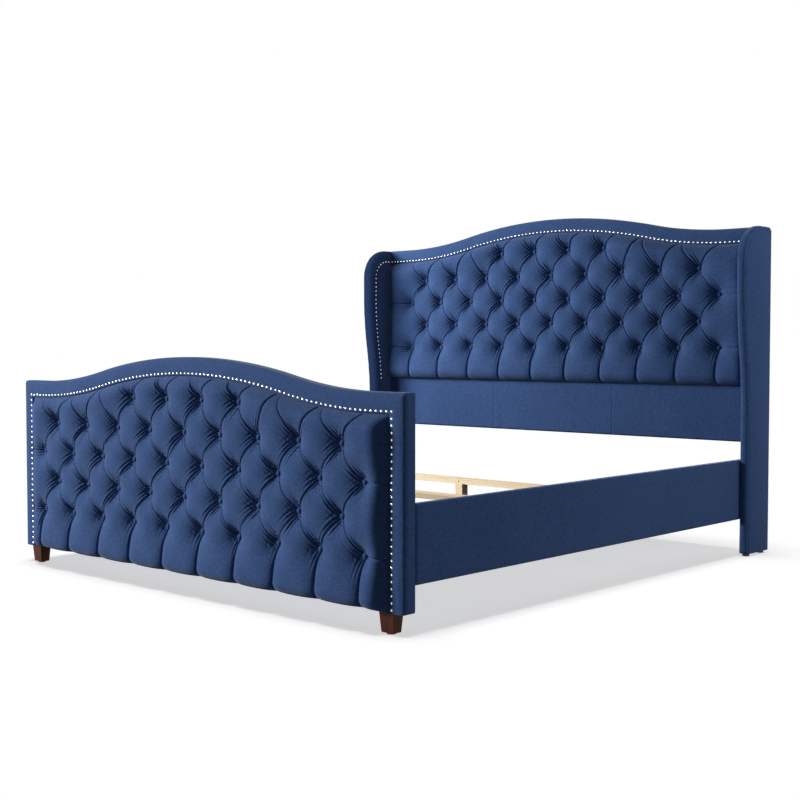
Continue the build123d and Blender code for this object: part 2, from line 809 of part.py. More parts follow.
# Slat ledger: the strip inside each rail that carries the ends of the slats
with BuildPart() as slat_ledger:
    with BuildSketch(to_right(rail_inner - ledger_width)):
        with Locations((ledger_start + ledger_length / 2, ledger_top - ledger_height / 2)):
            Rectangle(ledger_length, ledger_height)
    extrude(amount=ledger_width)
    drill(ledger_screws)
    drill(slat_screws)
keep_pair(slat_ledger.part, "slat_ledger")

# Rail brackets: one steel angle in each corner
with BuildPart() as rail_brackets:
    with BuildSketch(Plane.XY.offset(bracket_bottom)):
        with Locations((rail_inner, foot_back)):
            Rectangle(bracket_thickness, bracket_leg, align=(Align.MAX, Align.MIN))
            Rectangle(bracket_leg, bracket_thickness, align=(Align.MAX, Align.MIN))
    extrude(amount=bracket_height)
    drill(foot_bolts)
    drill(rail_bolts)
    mirror(about=Plane.XZ.offset(-rail_middle))
    mirror(about=Plane.YZ)
keep(rail_brackets.part, "rail_brackets")

# Bracket bolts, in all four corners
with BuildPart() as bracket_bolts:
    lay_fasteners(foot_bolts)
    lay_fasteners(head_bolts)
    lay_fasteners(rail_bolts)
    mirror(about=Plane.YZ)
keep(bracket_bolts.part, "bracket_bolts")

# Wing bolts, leg studs and ledger screws
with BuildPart() as wing_bolt_group:
    lay_fasteners(wing_bolts)
    mirror(about=Plane.YZ)
keep(wing_bolt_group.part, "wing_bolts")

with BuildPart() as leg_stud_group:
    lay_fasteners(leg_studs)
keep(leg_stud_group.part, "leg_studs")

with BuildPart() as ledger_screw_group:
    lay_fasteners(ledger_screws)
    mirror(about=Plane.YZ)
keep(ledger_screw_group.part, "ledger_screws")

with BuildPart() as slat_screw_group:
    lay_fasteners(slat_screws)
keep(slat_screw_group.part, "slat_screws")

# Slats, their centre legs and the levellers under them
leg_end = leveller_disc + leveller_gap
stem_top = leveller_disc + stem_length
for number, (y, leg_middle) in enumerate(zip(slat_y, slat_leg_y), start=1):
    with BuildPart() as slat:
        with BuildSketch(Plane.XY.offset(slat_top - slat_thickness)):
            with Locations((0, y)):
                Rectangle(2 * slat_half, slat_width)
        extrude(amount=slat_thickness)
        with BuildSketch(to_head(y - slat_width / 2 - overrun)):
            with Locations((0, slat_top - slat_thickness / 2)):
                Circle(slat_bore_radius)
        extrude(amount=slat_bore_depth + overrun, mode=Mode.SUBTRACT)
        drill(slat_screws)
    keep(slat.part, f"slat_{number}")

    with BuildPart() as slat_leg:
        with BuildSketch(Plane.XY.offset(leg_end)):
            with Locations((0, leg_middle)):
                Rectangle(slat_leg_size, slat_leg_size)
        extrude(amount=ledger_top - leg_end)
        with BuildSketch(Plane.XY.offset(leg_end)):
            with Locations((0, leg_middle)):
                Circle(nut_radius + hole_clearance)
        extrude(amount=nut_length + hole_clearance, mode=Mode.SUBTRACT)
        with BuildSketch(Plane.XY.offset(leg_end)):
            with Locations((0, leg_middle)):
                Circle(stem_radius + hole_clearance)
        extrude(amount=stem_length + bore_spare, mode=Mode.SUBTRACT)
        drill(slat_screws)
    keep(slat_leg.part, f"slat_leg_{number}")

    with BuildPart() as leveller:
        with BuildSketch():
            with Locations((0, leg_middle)):
                Circle(leveller_radius)
        extrude(amount=leveller_disc)
        with BuildSketch():
            with Locations((0, leg_middle)):
                Circle(stem_radius)
        extrude(amount=stem_top)
    keep(leveller.part, f"leveller_{number}")

# Leveller nuts: a flanged barrel pressed up into the end of each centre leg
with BuildPart() as leveller_nuts:
    nut_places = [(0, y) for y in slat_leg_y]
    with BuildSketch(Plane.XY.offset(leg_end)):
        with Locations(*nut_places):
            Circle(nut_radius)
            Circle(stem_radius + stem_clearance, mode=Mode.SUBTRACT)
    extrude(amount=nut_length)
    with BuildSketch(Plane.XY.offset(leg_end)):
        with Locations(*nut_places):
            Circle(nut_flange_radius)
            Circle(stem_radius + stem_clearance, mode=Mode.SUBTRACT)
    extrude(amount=-nut_flange)
keep(leveller_nuts.part, "leveller_nuts")
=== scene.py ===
# %% [markdown]
# # A tufted wingback bed
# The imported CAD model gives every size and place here. This script dresses it: fabric pieces are
# modelled anew over their plain CAD solids, and wood and metal parts keep their CAD shape and
# get a finish. All lengths are in metres.

# %% Load the frame
import json
import math
from typing import NamedTuple

import bpy
import numpy as np
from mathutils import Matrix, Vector

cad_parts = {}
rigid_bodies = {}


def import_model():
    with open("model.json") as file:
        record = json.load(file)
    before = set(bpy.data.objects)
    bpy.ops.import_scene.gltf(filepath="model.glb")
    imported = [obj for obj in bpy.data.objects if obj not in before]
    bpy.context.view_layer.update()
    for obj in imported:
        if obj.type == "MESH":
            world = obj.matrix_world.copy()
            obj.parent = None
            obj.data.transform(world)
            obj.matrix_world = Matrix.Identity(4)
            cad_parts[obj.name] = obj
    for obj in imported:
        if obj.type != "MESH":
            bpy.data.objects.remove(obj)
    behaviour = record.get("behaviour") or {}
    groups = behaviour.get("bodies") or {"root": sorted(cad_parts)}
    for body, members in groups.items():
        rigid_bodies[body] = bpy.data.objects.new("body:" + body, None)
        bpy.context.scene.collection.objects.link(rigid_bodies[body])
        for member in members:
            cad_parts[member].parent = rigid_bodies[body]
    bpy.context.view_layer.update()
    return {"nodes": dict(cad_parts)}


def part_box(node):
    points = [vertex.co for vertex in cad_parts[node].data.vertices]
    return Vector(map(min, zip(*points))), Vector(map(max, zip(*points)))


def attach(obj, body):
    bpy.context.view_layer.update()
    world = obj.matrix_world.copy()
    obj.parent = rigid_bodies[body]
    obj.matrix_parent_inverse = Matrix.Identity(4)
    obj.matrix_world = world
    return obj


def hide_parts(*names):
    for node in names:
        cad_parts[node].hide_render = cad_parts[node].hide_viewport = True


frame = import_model()

# %% [markdown]
# ## Small helpers
# Each mesh operator works on what is selected, so one helper selects a single object, and one runs
# an operator on all of its mesh. Another adds a modifier and applies it at once, the way a maker
# finishes one step before the next.

# %% Select one object, edit its mesh, and apply a modifier
def take(piece):
    """Selects one object alone and makes it active."""
    bpy.ops.object.select_all(action="DESELECT")
    piece.select_set(True)
    bpy.context.view_layer.objects.active = piece
    return piece


def new_object(name, data):
    """A new object in the scene, with this mesh, lamp or camera."""
    piece = bpy.data.objects.new(name, data)
    bpy.context.scene.collection.objects.link(piece)
    return piece


def edit(piece, operator, **settings):
    """Runs one operator on the whole mesh of a piece."""
    take(piece)
    bpy.ops.object.mode_set(mode="EDIT")
    bpy.ops.mesh.select_all(action="SELECT")
    operator(**settings)
    bpy.ops.object.mode_set(mode="OBJECT")


def trim(piece, place, away):
    """Cuts off what lies beyond a plane, and closes the cut."""
    edit(piece, bpy.ops.mesh.bisect, plane_co=place, plane_no=away, clear_outer=True, use_fill=True)


def modify(piece, kind, **settings):
    """Adds a modifier with these settings and applies it."""
    take(piece)
    modifier = piece.modifiers.new(kind.title(), kind)
    for name, value in settings.items():
        setattr(modifier, name, value)
    bpy.ops.object.modifier_apply(modifier=modifier.name)
    return piece


# %% [markdown]
# Fabric is laid as sheets of quads through rows of points, which keeps the mesh even for the
# folds. The sheet faces away from a point inside the furniture, so a thickness can then be added
# on its inner side only.

# %% Make a sheet from rows of points
def mesh_piece(name, points, faces):
    """A new object from points and faces."""
    mesh = bpy.data.meshes.new(name)
    mesh.from_pydata(np.asarray(points, float).reshape(-1, 3).tolist(), [], np.asarray(faces).tolist())
    return new_object(name, mesh)


def sheet_faces(rows, columns):
    """The quads of a grid of points."""
    index = np.arange(rows * columns).reshape(rows, columns)
    return np.stack([index[:-1, :-1], index[:-1, 1:], index[1:, 1:], index[1:, :-1]], axis=-1).reshape(-1, 4)


def lofted(name, points, inside):
    """A sheet through rows of points, facing away from the point inside."""
    points = np.asarray(points, float)
    quads = sheet_faces(*points.shape[:2])
    corners = points.reshape(-1, 3)[quads]
    normals = np.cross(corners[:, 2] - corners[:, 0], corners[:, 3] - corners[:, 1])
    if np.sum(normals * (corners.mean(1) - inside)) < 0:
        quads = quads[:, ::-1]
    piece = mesh_piece(name, points, quads)
    merge(piece)
    return piece


def merge(piece):
    """Joins points that lie in one place."""
    edit(piece, bpy.ops.mesh.remove_doubles, threshold=1e-5)


# %% [markdown]
# Points are read and moved as one array, which is quick even for a hundred thousand of them.

# %% Read and move points
def points_of(piece):
    """The points of a piece as an array."""
    flat = np.empty(len(piece.data.vertices) * 3, np.float32)
    piece.data.vertices.foreach_get("co", flat)
    return flat.reshape(-1, 3).astype(float)


def move_points(piece, points):
    """Puts the points of a piece where the array says."""
    piece.data.vertices.foreach_set("co", points.astype(np.float32).ravel())
    piece.data.update()


WAVES = 7


def ripple(across, along, size, seed):
    """A gentle uneven swell of about 1, about size long, always the same for one seed."""
    chance = np.random.default_rng(seed)
    total = np.zeros_like(across)
    for _ in range(WAVES):
        turn = chance.uniform(0, 2 * math.pi)
        length = size * chance.uniform(0.7, 1.6)
        start = chance.uniform(0, 2 * math.pi)
        total += np.sin(2 * math.pi * (across * math.cos(turn) + along * math.sin(turn)) / length + start)
    return total / math.sqrt(WAVES)


# %% [markdown]
# ## Colours and nodes
# Colours are picked as sRGB hex codes and turned linear by one function. Another adds a shader node
# with its settings and its links, and one blends two colours.

# %% Colour and node helpers
def linear(code):
    """An sRGB hex colour as linear RGBA."""
    channels = [int(code[i:i + 2], 16) / 255 for i in (1, 3, 5)]
    return tuple(c / 12.92 if c <= 0.04045 else ((c + 0.055) / 1.055) ** 2.4 for c in channels) + (1.0,)


def add(tree, kind, settings=None, inputs=None):
    """Adds a node, with its settings, and with each input set or linked."""
    node = tree.nodes.new("ShaderNode" + kind)
    for name, value in (settings or {}).items():
        setattr(node, name, value)
    for name, value in (inputs or {}).items():
        if isinstance(value, bpy.types.NodeSocket):
            tree.links.new(value, node.inputs[name])
        else:
            node.inputs[name].default_value = value
    return node


def new_material(name):
    """An empty material, its node tree and the object coordinates in it."""
    material = bpy.data.materials.new(name)
    material.use_nodes = True
    tree = material.node_tree
    tree.nodes.clear()
    return material, tree, add(tree, "TexCoord").outputs["Object"]


def close_material(tree, shader):
    """Links a shader to the material's output."""
    add(tree, "OutputMaterial", inputs={"Surface": shader.outputs[0]})


MIX_A, MIX_B, MIX_OUT = 6, 7, 2  # the colour sockets of a Mix node


def blend(tree, share, first, second):
    """Two hex colours mixed by a share from 0 to 1."""
    return add(tree, "Mix", {"data_type": "RGBA"}, {
        0: share, MIX_A: linear(first), MIX_B: linear(second)}).outputs[MIX_OUT]


# %% [markdown]
# ## Linen-look upholstery fabric
# The cover is a woven polyester that looks like linen: plain weave, with slubs, where a thread is
# thicker for a few centimetres, and two close shades of blue yarn. Real threads are about 0.8 mm
# apart, too fine to show from here, so they are drawn coarser. Long noise along each thread
# direction gives the slubs, and a soft sheen gives the bloom of the fibres at the edges.

# %% Linen material
THREAD = 0.0024
SLUB = 0.016
SHADE_PATCH = 0.30
THREAD_RELIEF = 0.0006


def linen(name, dark, light, bloom):
    """A woven cloth of two blue yarns, with slubs along both thread directions."""
    material, tree, place = new_material(name)
    threads = []
    for scale in ((1 / THREAD, 1 / THREAD, 1 / SLUB), (1 / SLUB, 1 / SLUB, 1 / THREAD)):
        mapped = add(tree, "Mapping", inputs={"Vector": place, "Scale": scale})
        threads.append(add(tree, "TexNoise", inputs={
            "Vector": mapped.outputs[0], "Scale": 1.0, "Detail": 2.0, "Roughness": 0.6}))
    both = add(tree, "Math", {"operation": "ADD"}, {0: threads[0].outputs[0], 1: threads[1].outputs[0]})
    patches = add(tree, "TexNoise", inputs={"Vector": place, "Scale": 1 / SHADE_PATCH, "Detail": 3.0})
    toned = add(tree, "Math", {"operation": "MULTIPLY_ADD"}, {
        0: patches.outputs[0], 1: 0.35, 2: both.outputs[0]})
    share = add(tree, "MapRange", inputs={"Value": toned.outputs[0], "From Min": 0.80, "From Max": 1.55})
    colour = blend(tree, share.outputs[0], dark, light)
    bump = add(tree, "Bump", inputs={"Height": both.outputs[0], "Strength": 0.35, "Distance": THREAD_RELIEF})
    close_material(tree, add(tree, "BsdfPrincipled", inputs={
        "Base Color": colour, "Roughness": 0.85, "Specular IOR Level": 0.14,
        "Sheen Weight": 0.32, "Sheen Roughness": 0.45, "Sheen Tint": linear(bloom),
        "Normal": bump.outputs[0]}))
    return material


linen_blue = linen("linen_royal_navy", "#253f6a", "#405e92", "#b2b6c0")
print("fabric ready:", linen_blue.name)

# %% [markdown]
# ## Wood, metal and nylon
# Pine slats are pale, with darker summer wood in long streaks along the grain. The legs are
# beech stained espresso, with little gloss. Plywood shows its face grain. The grain runs along the
# long side of each part, so the wood function stretches its noise along one axis.

# %% Wood material
GRAIN_WIDTH = 0.0035
GRAIN_LENGTH = 0.22
VENEER_GRAIN = 0.006
BROAD_BANDS = 9


def wood(name, axis, pale, deep, roughness, width=GRAIN_WIDTH):
    """Wood with its grain along one axis, from pale spring wood to deep summer wood."""
    material, tree, place = new_material(name)
    scale = [1 / width] * 3
    scale[axis] = 1 / GRAIN_LENGTH
    mapped = add(tree, "Mapping", inputs={"Vector": place, "Scale": scale})
    grain = add(tree, "TexNoise", inputs={
        "Vector": mapped.outputs[0], "Scale": 1.0, "Detail": 4.0, "Roughness": 0.55, "Distortion": 0.4})
    wide = [value / BROAD_BANDS for value in scale]
    mapped_wide = add(tree, "Mapping", inputs={"Vector": place, "Scale": wide})
    boards = add(tree, "TexNoise", inputs={"Vector": mapped_wide.outputs[0], "Scale": 1.0, "Detail": 2.0})
    both = add(tree, "Math", {"operation": "ADD"}, {0: grain.outputs[0], 1: boards.outputs[0]})
    share = add(tree, "MapRange", inputs={"Value": both.outputs[0], "From Min": 0.75, "From Max": 1.30})
    colour = blend(tree, share.outputs[0], pale, deep)
    bump = add(tree, "Bump", inputs={"Height": grain.outputs[0], "Strength": 0.2, "Distance": 0.0004})
    close_material(tree, add(tree, "BsdfPrincipled", inputs={
        "Base Color": colour, "Roughness": roughness, "Specular IOR Level": 0.15,
        "Normal": bump.outputs[0]}))
    return material


ALONG_X, ALONG_Y, ALONG_Z = 0, 1, 2
pine = [wood(f"pine_planed_{n}", axis, "#eadabc", "#d5b789", 0.6) for axis, n in enumerate("xyz")]
plywood = wood("birch_plywood", ALONG_X, "#dcc59a", "#bf9c68", 0.65, VENEER_GRAIN)
espresso = wood("beech_stained_espresso", ALONG_Z, "#5e2912", "#2e1409", 0.50)
print("woods ready:", [finish.name for finish in (*pine, plywood, espresso)])

# %% [markdown]
# The decorative nails are nickel-plated and polished, so they mirror the room. Hidden screws,
# bolts and brackets are zinc-plated steel, with a cloudy grey. Glides and levelling feet are
# black nylon, moulded with a faint grain.

# %% Metal and nylon materials
def plated(name, base, shade, roughness, spread, patch):
    """Plated metal whose gloss clouds over a little in patches."""
    material, tree, place = new_material(name)
    cloud = add(tree, "TexNoise", inputs={"Vector": place, "Scale": 1 / patch, "Detail": 3.0})
    gloss = add(tree, "MapRange", inputs={
        "Value": cloud.outputs[0], "To Min": roughness, "To Max": roughness + spread})
    colour = blend(tree, cloud.outputs[0], base, shade)
    close_material(tree, add(tree, "BsdfPrincipled", inputs={
        "Base Color": colour, "Metallic": 1.0, "Roughness": gloss.outputs[0]}))
    return material


def moulded(name, base, shade, grain):
    """Moulded nylon with a fine grain from its mould."""
    material, tree, place = new_material(name)
    pits = add(tree, "TexNoise", inputs={"Vector": place, "Scale": 1 / grain, "Detail": 1.0})
    colour = blend(tree, pits.outputs[0], base, shade)
    bump = add(tree, "Bump", inputs={"Height": pits.outputs[0], "Strength": 0.2, "Distance": 0.0003})
    close_material(tree, add(tree, "BsdfPrincipled", inputs={
        "Base Color": colour, "Roughness": 0.55, "IOR": 1.53,
        "Normal": bump.outputs[0]}))
    return material


nickel = plated("nickel_polished", "#f1efeb", "#d6d4d0", 0.20, 0.12, 0.010)
zinc = plated("steel_zinc_plated", "#b9bcbf", "#9a9da1", 0.34, 0.22, 0.014)
nylon = moulded("nylon_black_moulded", "#1d1e20", "#292a2d", 0.0012)


def dress(material, *nodes):
    """Gives CAD nodes a finish."""
    for name in nodes:
        node = frame["nodes"][name]
        if not node.material_slots:
            node.data.materials.append(material)
        for place in node.material_slots:
            place.material = material


dress(pine[ALONG_X], "slat_1", "slat_2", "slat_3", "footboard_arch_rail", "headboard_arch_rail",
      "headboard_middle_rail", "headboard_bottom_rail", "footboard_bottom_rail")
dress(pine[ALONG_Y], "slat_ledger_left", "slat_ledger_right")
dress(pine[ALONG_Z], "slat_leg_1", "slat_leg_2", "slat_leg_3", "footboard_stile_left",
      "footboard_stile_right", "headboard_stile_left", "headboard_stile_right")
dress(plywood, "footboard_deck", "headboard_deck", "wing_core_left", "wing_core_right",
      "side_rail_board_left", "side_rail_board_right")
dress(espresso, "footboard_leg_left", "footboard_leg_right")
dress(nickel, "footboard_nails", "headboard_nails", "wing_nails_left", "wing_nails_right")
dress(zinc, "wing_bolts", "leg_studs", "ledger_screws", "rail_brackets", "bracket_bolts",
      "slat_screws", "leveller_nuts")
dress(nylon, "wing_glides", "leg_glides", "leveller_1", "leveller_2", "leveller_3")
print("finishes ready:", nickel.name, zinc.name, nylon.name)

# %% [markdown]
# ## The boards' outline
# Footboard and headboard share one arch: a flat end, a hollow flank and a round crest. The two
# arcs of each side turn by the same angle, so three lengths fix them. The nodes' boxes give the rest.

# %% The arch as a formula
ARCH_RISE = 0.097
ARCH_FLAT = 0.1255
CREST_SHARE = 0.575
BAND = 0.063
PAD_GAP = 0.0012

half_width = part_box("footboard_cover")[1].x
arch_span = half_width - ARCH_FLAT
arch_angle = 2 * math.atan(ARCH_RISE / arch_span)
crest_radius = CREST_SHARE * arch_span / math.sin(arch_angle)
flank_radius = (1 - CREST_SHARE) * arch_span / math.sin(arch_angle)


def arch_height(x, end_top, drop):
    """How high the arch is at x, drop below the board's edge. Takes arrays."""
    x = np.abs(np.asarray(x, float))
    crest = crest_radius - drop
    flank = flank_radius + drop
    on_crest = end_top + ARCH_RISE - crest_radius + np.sqrt(np.maximum(crest ** 2 - x ** 2, 0))
    reach = np.clip(arch_span - x, 0, flank)
    on_flank = end_top + flank_radius - np.sqrt(flank ** 2 - reach ** 2)
    return np.where(x < crest * math.sin(arch_angle), on_crest, on_flank)


class Board(NamedTuple):
    """An upholstered board: its planes, its heights, and the reach of its tufted pad."""
    name: str
    front: float
    back: float
    bottom: float
    end_top: float
    side: float
    low: float


def read_board(name):
    """Reads a board's planes from the boxes of its cover and its tufted pad."""
    cover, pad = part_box(f"{name}_cover"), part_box(f"{name}_tufted_pad")
    return Board(name, cover[0].y, cover[1].y, cover[0].z, cover[1].z - ARCH_RISE, pad[1].x, pad[0].z)


foot, head = read_board("footboard"), read_board("headboard")
print(foot)
print(head)

# %% [markdown]
# ## Where the buttons and pleats are
# Deep buttoning pulls the cover through the foam at each button, and the spare cloth between two
# buttons is folded into a pleat. The five rows are set off by half a pitch, so the pleats form
# diamonds. Below the lowest row they run straight down, and at the sides straight out. At the top
# each button sends two pleats on to the border, spread like a V.

# %% Button and tuft layout
PITCH = 0.190
RISE = 0.1105
FIRST_ROW = 0.156
ROW_COUNTS = (10, 9, 10, 9, 4)
CREST_SPREAD = 0.055
FLANK_SPREAD = 0.085


def row_places(count):
    """Where the buttons of one row are along X."""
    return [(i - (count - 1) / 2) * PITCH for i in range(count)]


def row_heights(board):
    """How high the rows of buttons are."""
    return [board.low + FIRST_ROW + RISE * i for i in range(len(ROW_COUNTS))]


def button_places(board):
    """Every button of a board, as X and Z."""
    return np.array([(x, z) for count, z in zip(ROW_COUNTS, row_heights(board)) for x in row_places(count)])


def pad_top(x, board):
    """The height of the pad's upper edge at x."""
    return float(arch_height(x, board.end_top, BAND + PAD_GAP))


def tuft_outlines(board):
    """The corners of each tuft in order, and whether its first side follows the arch."""
    def edge(x):
        return x, pad_top(x, board)

    z0, z1, z2, z3, z4 = row_heights(board)
    half, low, side = PITCH / 2, board.low, board.side
    long_row, short_row, crest_row = (row_places(n) for n in (10, 9, 4))
    outer, last, inner = long_row[-1], short_row[-1], crest_row[-1]
    step = inner + half
    diamonds = ([(x, z1) for x in long_row[1:-1]] + [(x, z2) for x in short_row]
                + [(x, z3) for x in crest_row])
    outlines = [([(x + half, z), (x, z + RISE), (x - half, z), (x, z - RISE)], False) for x, z in diamonds]
    outlines += [([(x - half, low), (x + half, low), (x + half, z0), (x, z1), (x - half, z0)], False)
                 for x in short_row]
    crest_gaps = [x for x in short_row if abs(x) < inner]
    flank_gaps = [x for x in long_row[1:-1] if abs(x) > step]
    flank_row = [x for x in short_row if abs(x) > step + half / 2]
    for gaps, row, peak, valley, spread in ((crest_gaps, crest_row, z4, z3, CREST_SPREAD),
                                            (flank_gaps, flank_row, z3, z2, FLANK_SPREAD)):
        outlines += [([edge(x + half - spread), edge(x - half + spread),
                       (x - half, peak), (x, valley), (x + half, peak)], True) for x in gaps]
        outlines += [([edge(x + spread), edge(x - spread), (x, peak)], True) for x in row]
    right = [
        ([edge(step + FLANK_SPREAD), edge(inner + CREST_SPREAD), (inner, z4), (step, z3)], True),
        ([edge(side), edge(last + FLANK_SPREAD), (last, z3), (outer, z2), (side, z2)], True),
        ([(side, z2), (outer, z2), (last, z1), (outer, z0), (side, z0)], False),
        ([(side, z0), (outer, z0), (outer, low), (side, low)], False)]
    for corners, arched in right:
        flipped = [(-x, z) for x, z in corners]
        outlines += [(corners, arched), ([flipped[1], flipped[0]] + flipped[:1:-1], arched)]
    return outlines


print("tufts on each board:", len(tuft_outlines(foot)))

# %% [markdown]
# Every side that two tufts share is a pleat. Its ends tell its kind: a pleat between two
# buttons, a channel that runs down, or a pleat that runs out to the border at the top or side.
# The fold of a pleat that slopes down to the right is faint at its left end, as in real tufting
# where the cloth is tucked from one side.

# %% Pleats
class Pleat(NamedTuple):
    """A fold in the cover: its ends, how deep and wide its dip is, and how sharp it starts."""
    start: np.ndarray
    end: np.ndarray
    depth: float
    width: float
    crease: float


PLEAT_DEPTH, PLEAT_WIDTH = 0.06, 0.022
CHANNEL_DEPTH, CHANNEL_WIDTH = {"footboard": 0.36, "headboard": 0.22}, 0.048
EDGE_DEPTH, EDGE_WIDTH = 0.06, 0.018
EDGE_GRIP = 0.001
FAINT, FIRM, SHARP = 0.25, 0.6, 1.0


def pleats(board):
    """All the pleats of a board, each once."""
    found = {}
    for corners, arched in tuft_outlines(board):
        for i, start in enumerate(corners):
            end = corners[(i + 1) % len(corners)]
            on_side = abs(start[0]) == board.side and abs(end[0]) == board.side
            on_bottom = start[1] == board.low and end[1] == board.low
            if (arched and i == 0) or on_side or on_bottom:
                continue
            key = tuple(sorted((tuple(np.round(start, 5)), tuple(np.round(end, 5)))))
            depth, width, crease = PLEAT_DEPTH, PLEAT_WIDTH, FAINT
            if board.low in (start[1], end[1]):
                depth, width, crease = CHANNEL_DEPTH[board.name], CHANNEL_WIDTH, FIRM
            elif board.side in (abs(start[0]), abs(end[0])):
                depth, width, crease = EDGE_DEPTH, EDGE_WIDTH, SHARP
            elif max(z - pad_top(x, board) for x, z in key) > -EDGE_GRIP:
                depth, width = EDGE_DEPTH, EDGE_WIDTH
                crease = SHARP if key[1][1] > key[0][1] else FAINT
            found[key] = Pleat(np.array(key[0]), np.array(key[1]), depth, width, crease)
    return list(found.values())


print("pleats on each board:", len(pleats(foot)))

# %% [markdown]
# ## The height of the cover
# The cover stands highest in the middle of a tuft. It falls in a wide funnel to each button, dips
# a little along each pleat, which stays high between the buttons, and rolls over to the border.
# Each of these is a share between 0 and 1, and the height is their product. The left roll of the
# footboard is softer than its right one, and the left end of the headboard lies flat to the wing.

# %% Height of the tufted cover
TUFT_RISE = 0.053
SEAT_DEPTH = 0.006
FUNNEL = 0.043
FUNNEL_POWER = 1.10
BORDER_ROLL = 0.062
BORDER_POWER = 3.0
LEFT_ROLL = {"footboard": 1.95, "headboard": 0.50}


def rounded(distance, width):
    """A quarter-round rise from 0 at the fold to 1 at width away from it."""
    return np.sqrt(1 - (1 - np.clip(distance / width, 0, 1)) ** 2)


def distance_to(points, start, end):
    """How far each point is from a straight line, and its share of the way along it."""
    along = end - start
    share = np.clip(((points - start) @ along) / (along @ along), 0, 1)
    return np.linalg.norm(points - start - share[:, None] * along, axis=1), share


def cover_height(flat, board, bottom_roll):
    """How far the cover stands above the buttons' seats at each X and Z."""
    height = np.ones(len(flat))
    for place in button_places(board):
        distance = np.linalg.norm(flat - place, axis=1)
        height *= 1 - np.exp(-(distance / FUNNEL) ** FUNNEL_POWER)
    for pleat in pleats(board):
        distance, _ = distance_to(flat, pleat.start, pleat.end)
        height *= 1 - pleat.depth * (1 - rounded(distance, pleat.width))
    above = arch_height(flat[:, 0], board.end_top, BAND + PAD_GAP) - flat[:, 1]
    beside = board.side - np.abs(flat[:, 0])
    beside = np.where(flat[:, 0] < 0, beside / LEFT_ROLL[board.name], beside)
    for distance in (above, beside):
        height *= 1 - (1 - np.clip(distance / BORDER_ROLL, 0, 1)) ** BORDER_POWER
    return TUFT_RISE * height * rounded(flat[:, 1] - board.low, bottom_roll)


# %% [markdown]
# A sharp crease runs in the bottom of each pleat. Close to a button the gathered cloth also
# breaks into a few short wrinkles that fan out beside the pleats. They start a finger's width from
# the button and are gone halfway to the next one, and they are deeper on the button's left. Each
# differs in depth, length and spacing, with a fixed seed.

# %% Creases, and fans of wrinkles at the buttons
CREASE_DEPTH, CREASE_WIDTH = 0.0080, 0.0027
CREASE_FADE = 0.50
FOLD_POWER = 1.5
FAN_REACH = 0.070
FAN_DEPTH = 0.0085
FAN_SPACING = 0.0150
FAN_START = 0.014
FAN_SPREAD = 0.024
FAN_BIAS = 0.70
FAN_INNER = 0.004
FADE_IN = 0.010
STROKE_WIDTH = 0.0026
STROKE_REST = 0.3
STROKES = 3


def crease_depth(flat, board):
    """How deep the sharp crease in the bottom of each pleat is. It is shallower half way along."""
    depth = np.zeros(len(flat))
    for pleat in pleats(board):
        distance, share = distance_to(flat, pleat.start, pleat.end)
        sharpness = pleat.crease + (1 - pleat.crease) * share
        crease = CREASE_DEPTH * (1 - CREASE_FADE * np.sin(math.pi * share)) * sharpness
        depth = np.maximum(depth, crease * np.exp(-(distance / CREASE_WIDTH) ** FOLD_POWER))
    return depth


def fan_height(flat, board, seed):
    """The height of the wrinkles that fan out from the buttons."""
    chance = np.random.default_rng(seed)
    total = np.zeros(len(flat))
    folds = pleats(board)
    for place in button_places(board):
        offset = flat - place
        distance = np.linalg.norm(offset, axis=1)
        near = (distance < 2 * FAN_REACH) & (distance > FAN_INNER)
        angle = np.arctan2(offset[near, 1], offset[near, 0])
        reach = distance[near]
        fan = np.zeros(len(reach))
        for fold in folds:
            for here, there in ((fold.start, fold.end), (fold.end, fold.start)):
                if np.linalg.norm(here - place) > EDGE_GRIP:
                    continue
                toward = math.atan2(there[1] - here[1], there[0] - here[0])
                turn = (angle - toward + math.pi) % (2 * math.pi) - math.pi
                gap = FAN_SPACING * chance.uniform(0.85, 1.2) * reach / (reach + FAN_START)
                lean = chance.uniform(-0.4, 0.4)
                side = reach * np.sin(turn)
                count = side / gap + lean * reach / FAN_REACH
                stroke = np.clip(np.round(count), -STROKES, STROKES).astype(int)
                away = np.abs(count - stroke) * gap
                depth = chance.uniform(0.1, 1.3, 2 * STROKES + 1)[stroke + STROKES]
                end = FAN_REACH * chance.uniform(0.5, 1.2, 2 * STROKES + 1)[stroke + STROKES]
                fade = np.clip((reach - FADE_IN) / FADE_IN, 0, 1) * np.exp(-(reach / end) ** 3)
                window = np.exp(-(side / FAN_SPREAD) ** 2) * (np.cos(turn) > 0)
                window = window * (1 - FAN_BIAS * math.cos(toward))
                fan += depth * fade * window * (np.exp(-(away / STROKE_WIDTH) ** FOLD_POWER) - STROKE_REST)
        total[near] -= FAN_DEPTH * fan
    return total


# %% [markdown]
# ## Tufted pads
# The mesh follows the tufts: each outline is cut into one four-sided patch for each of its
# corners, so a row of points lies exactly in every pleat and the folds stay crisp. Points crowd
# towards buttons and pleats, where the cloth bends most. The front is then raised, and its
# border is carried back to the deck and closed.

# %% Lay out a pad
PATCH_POINTS = 16
CROWDING = 1.25


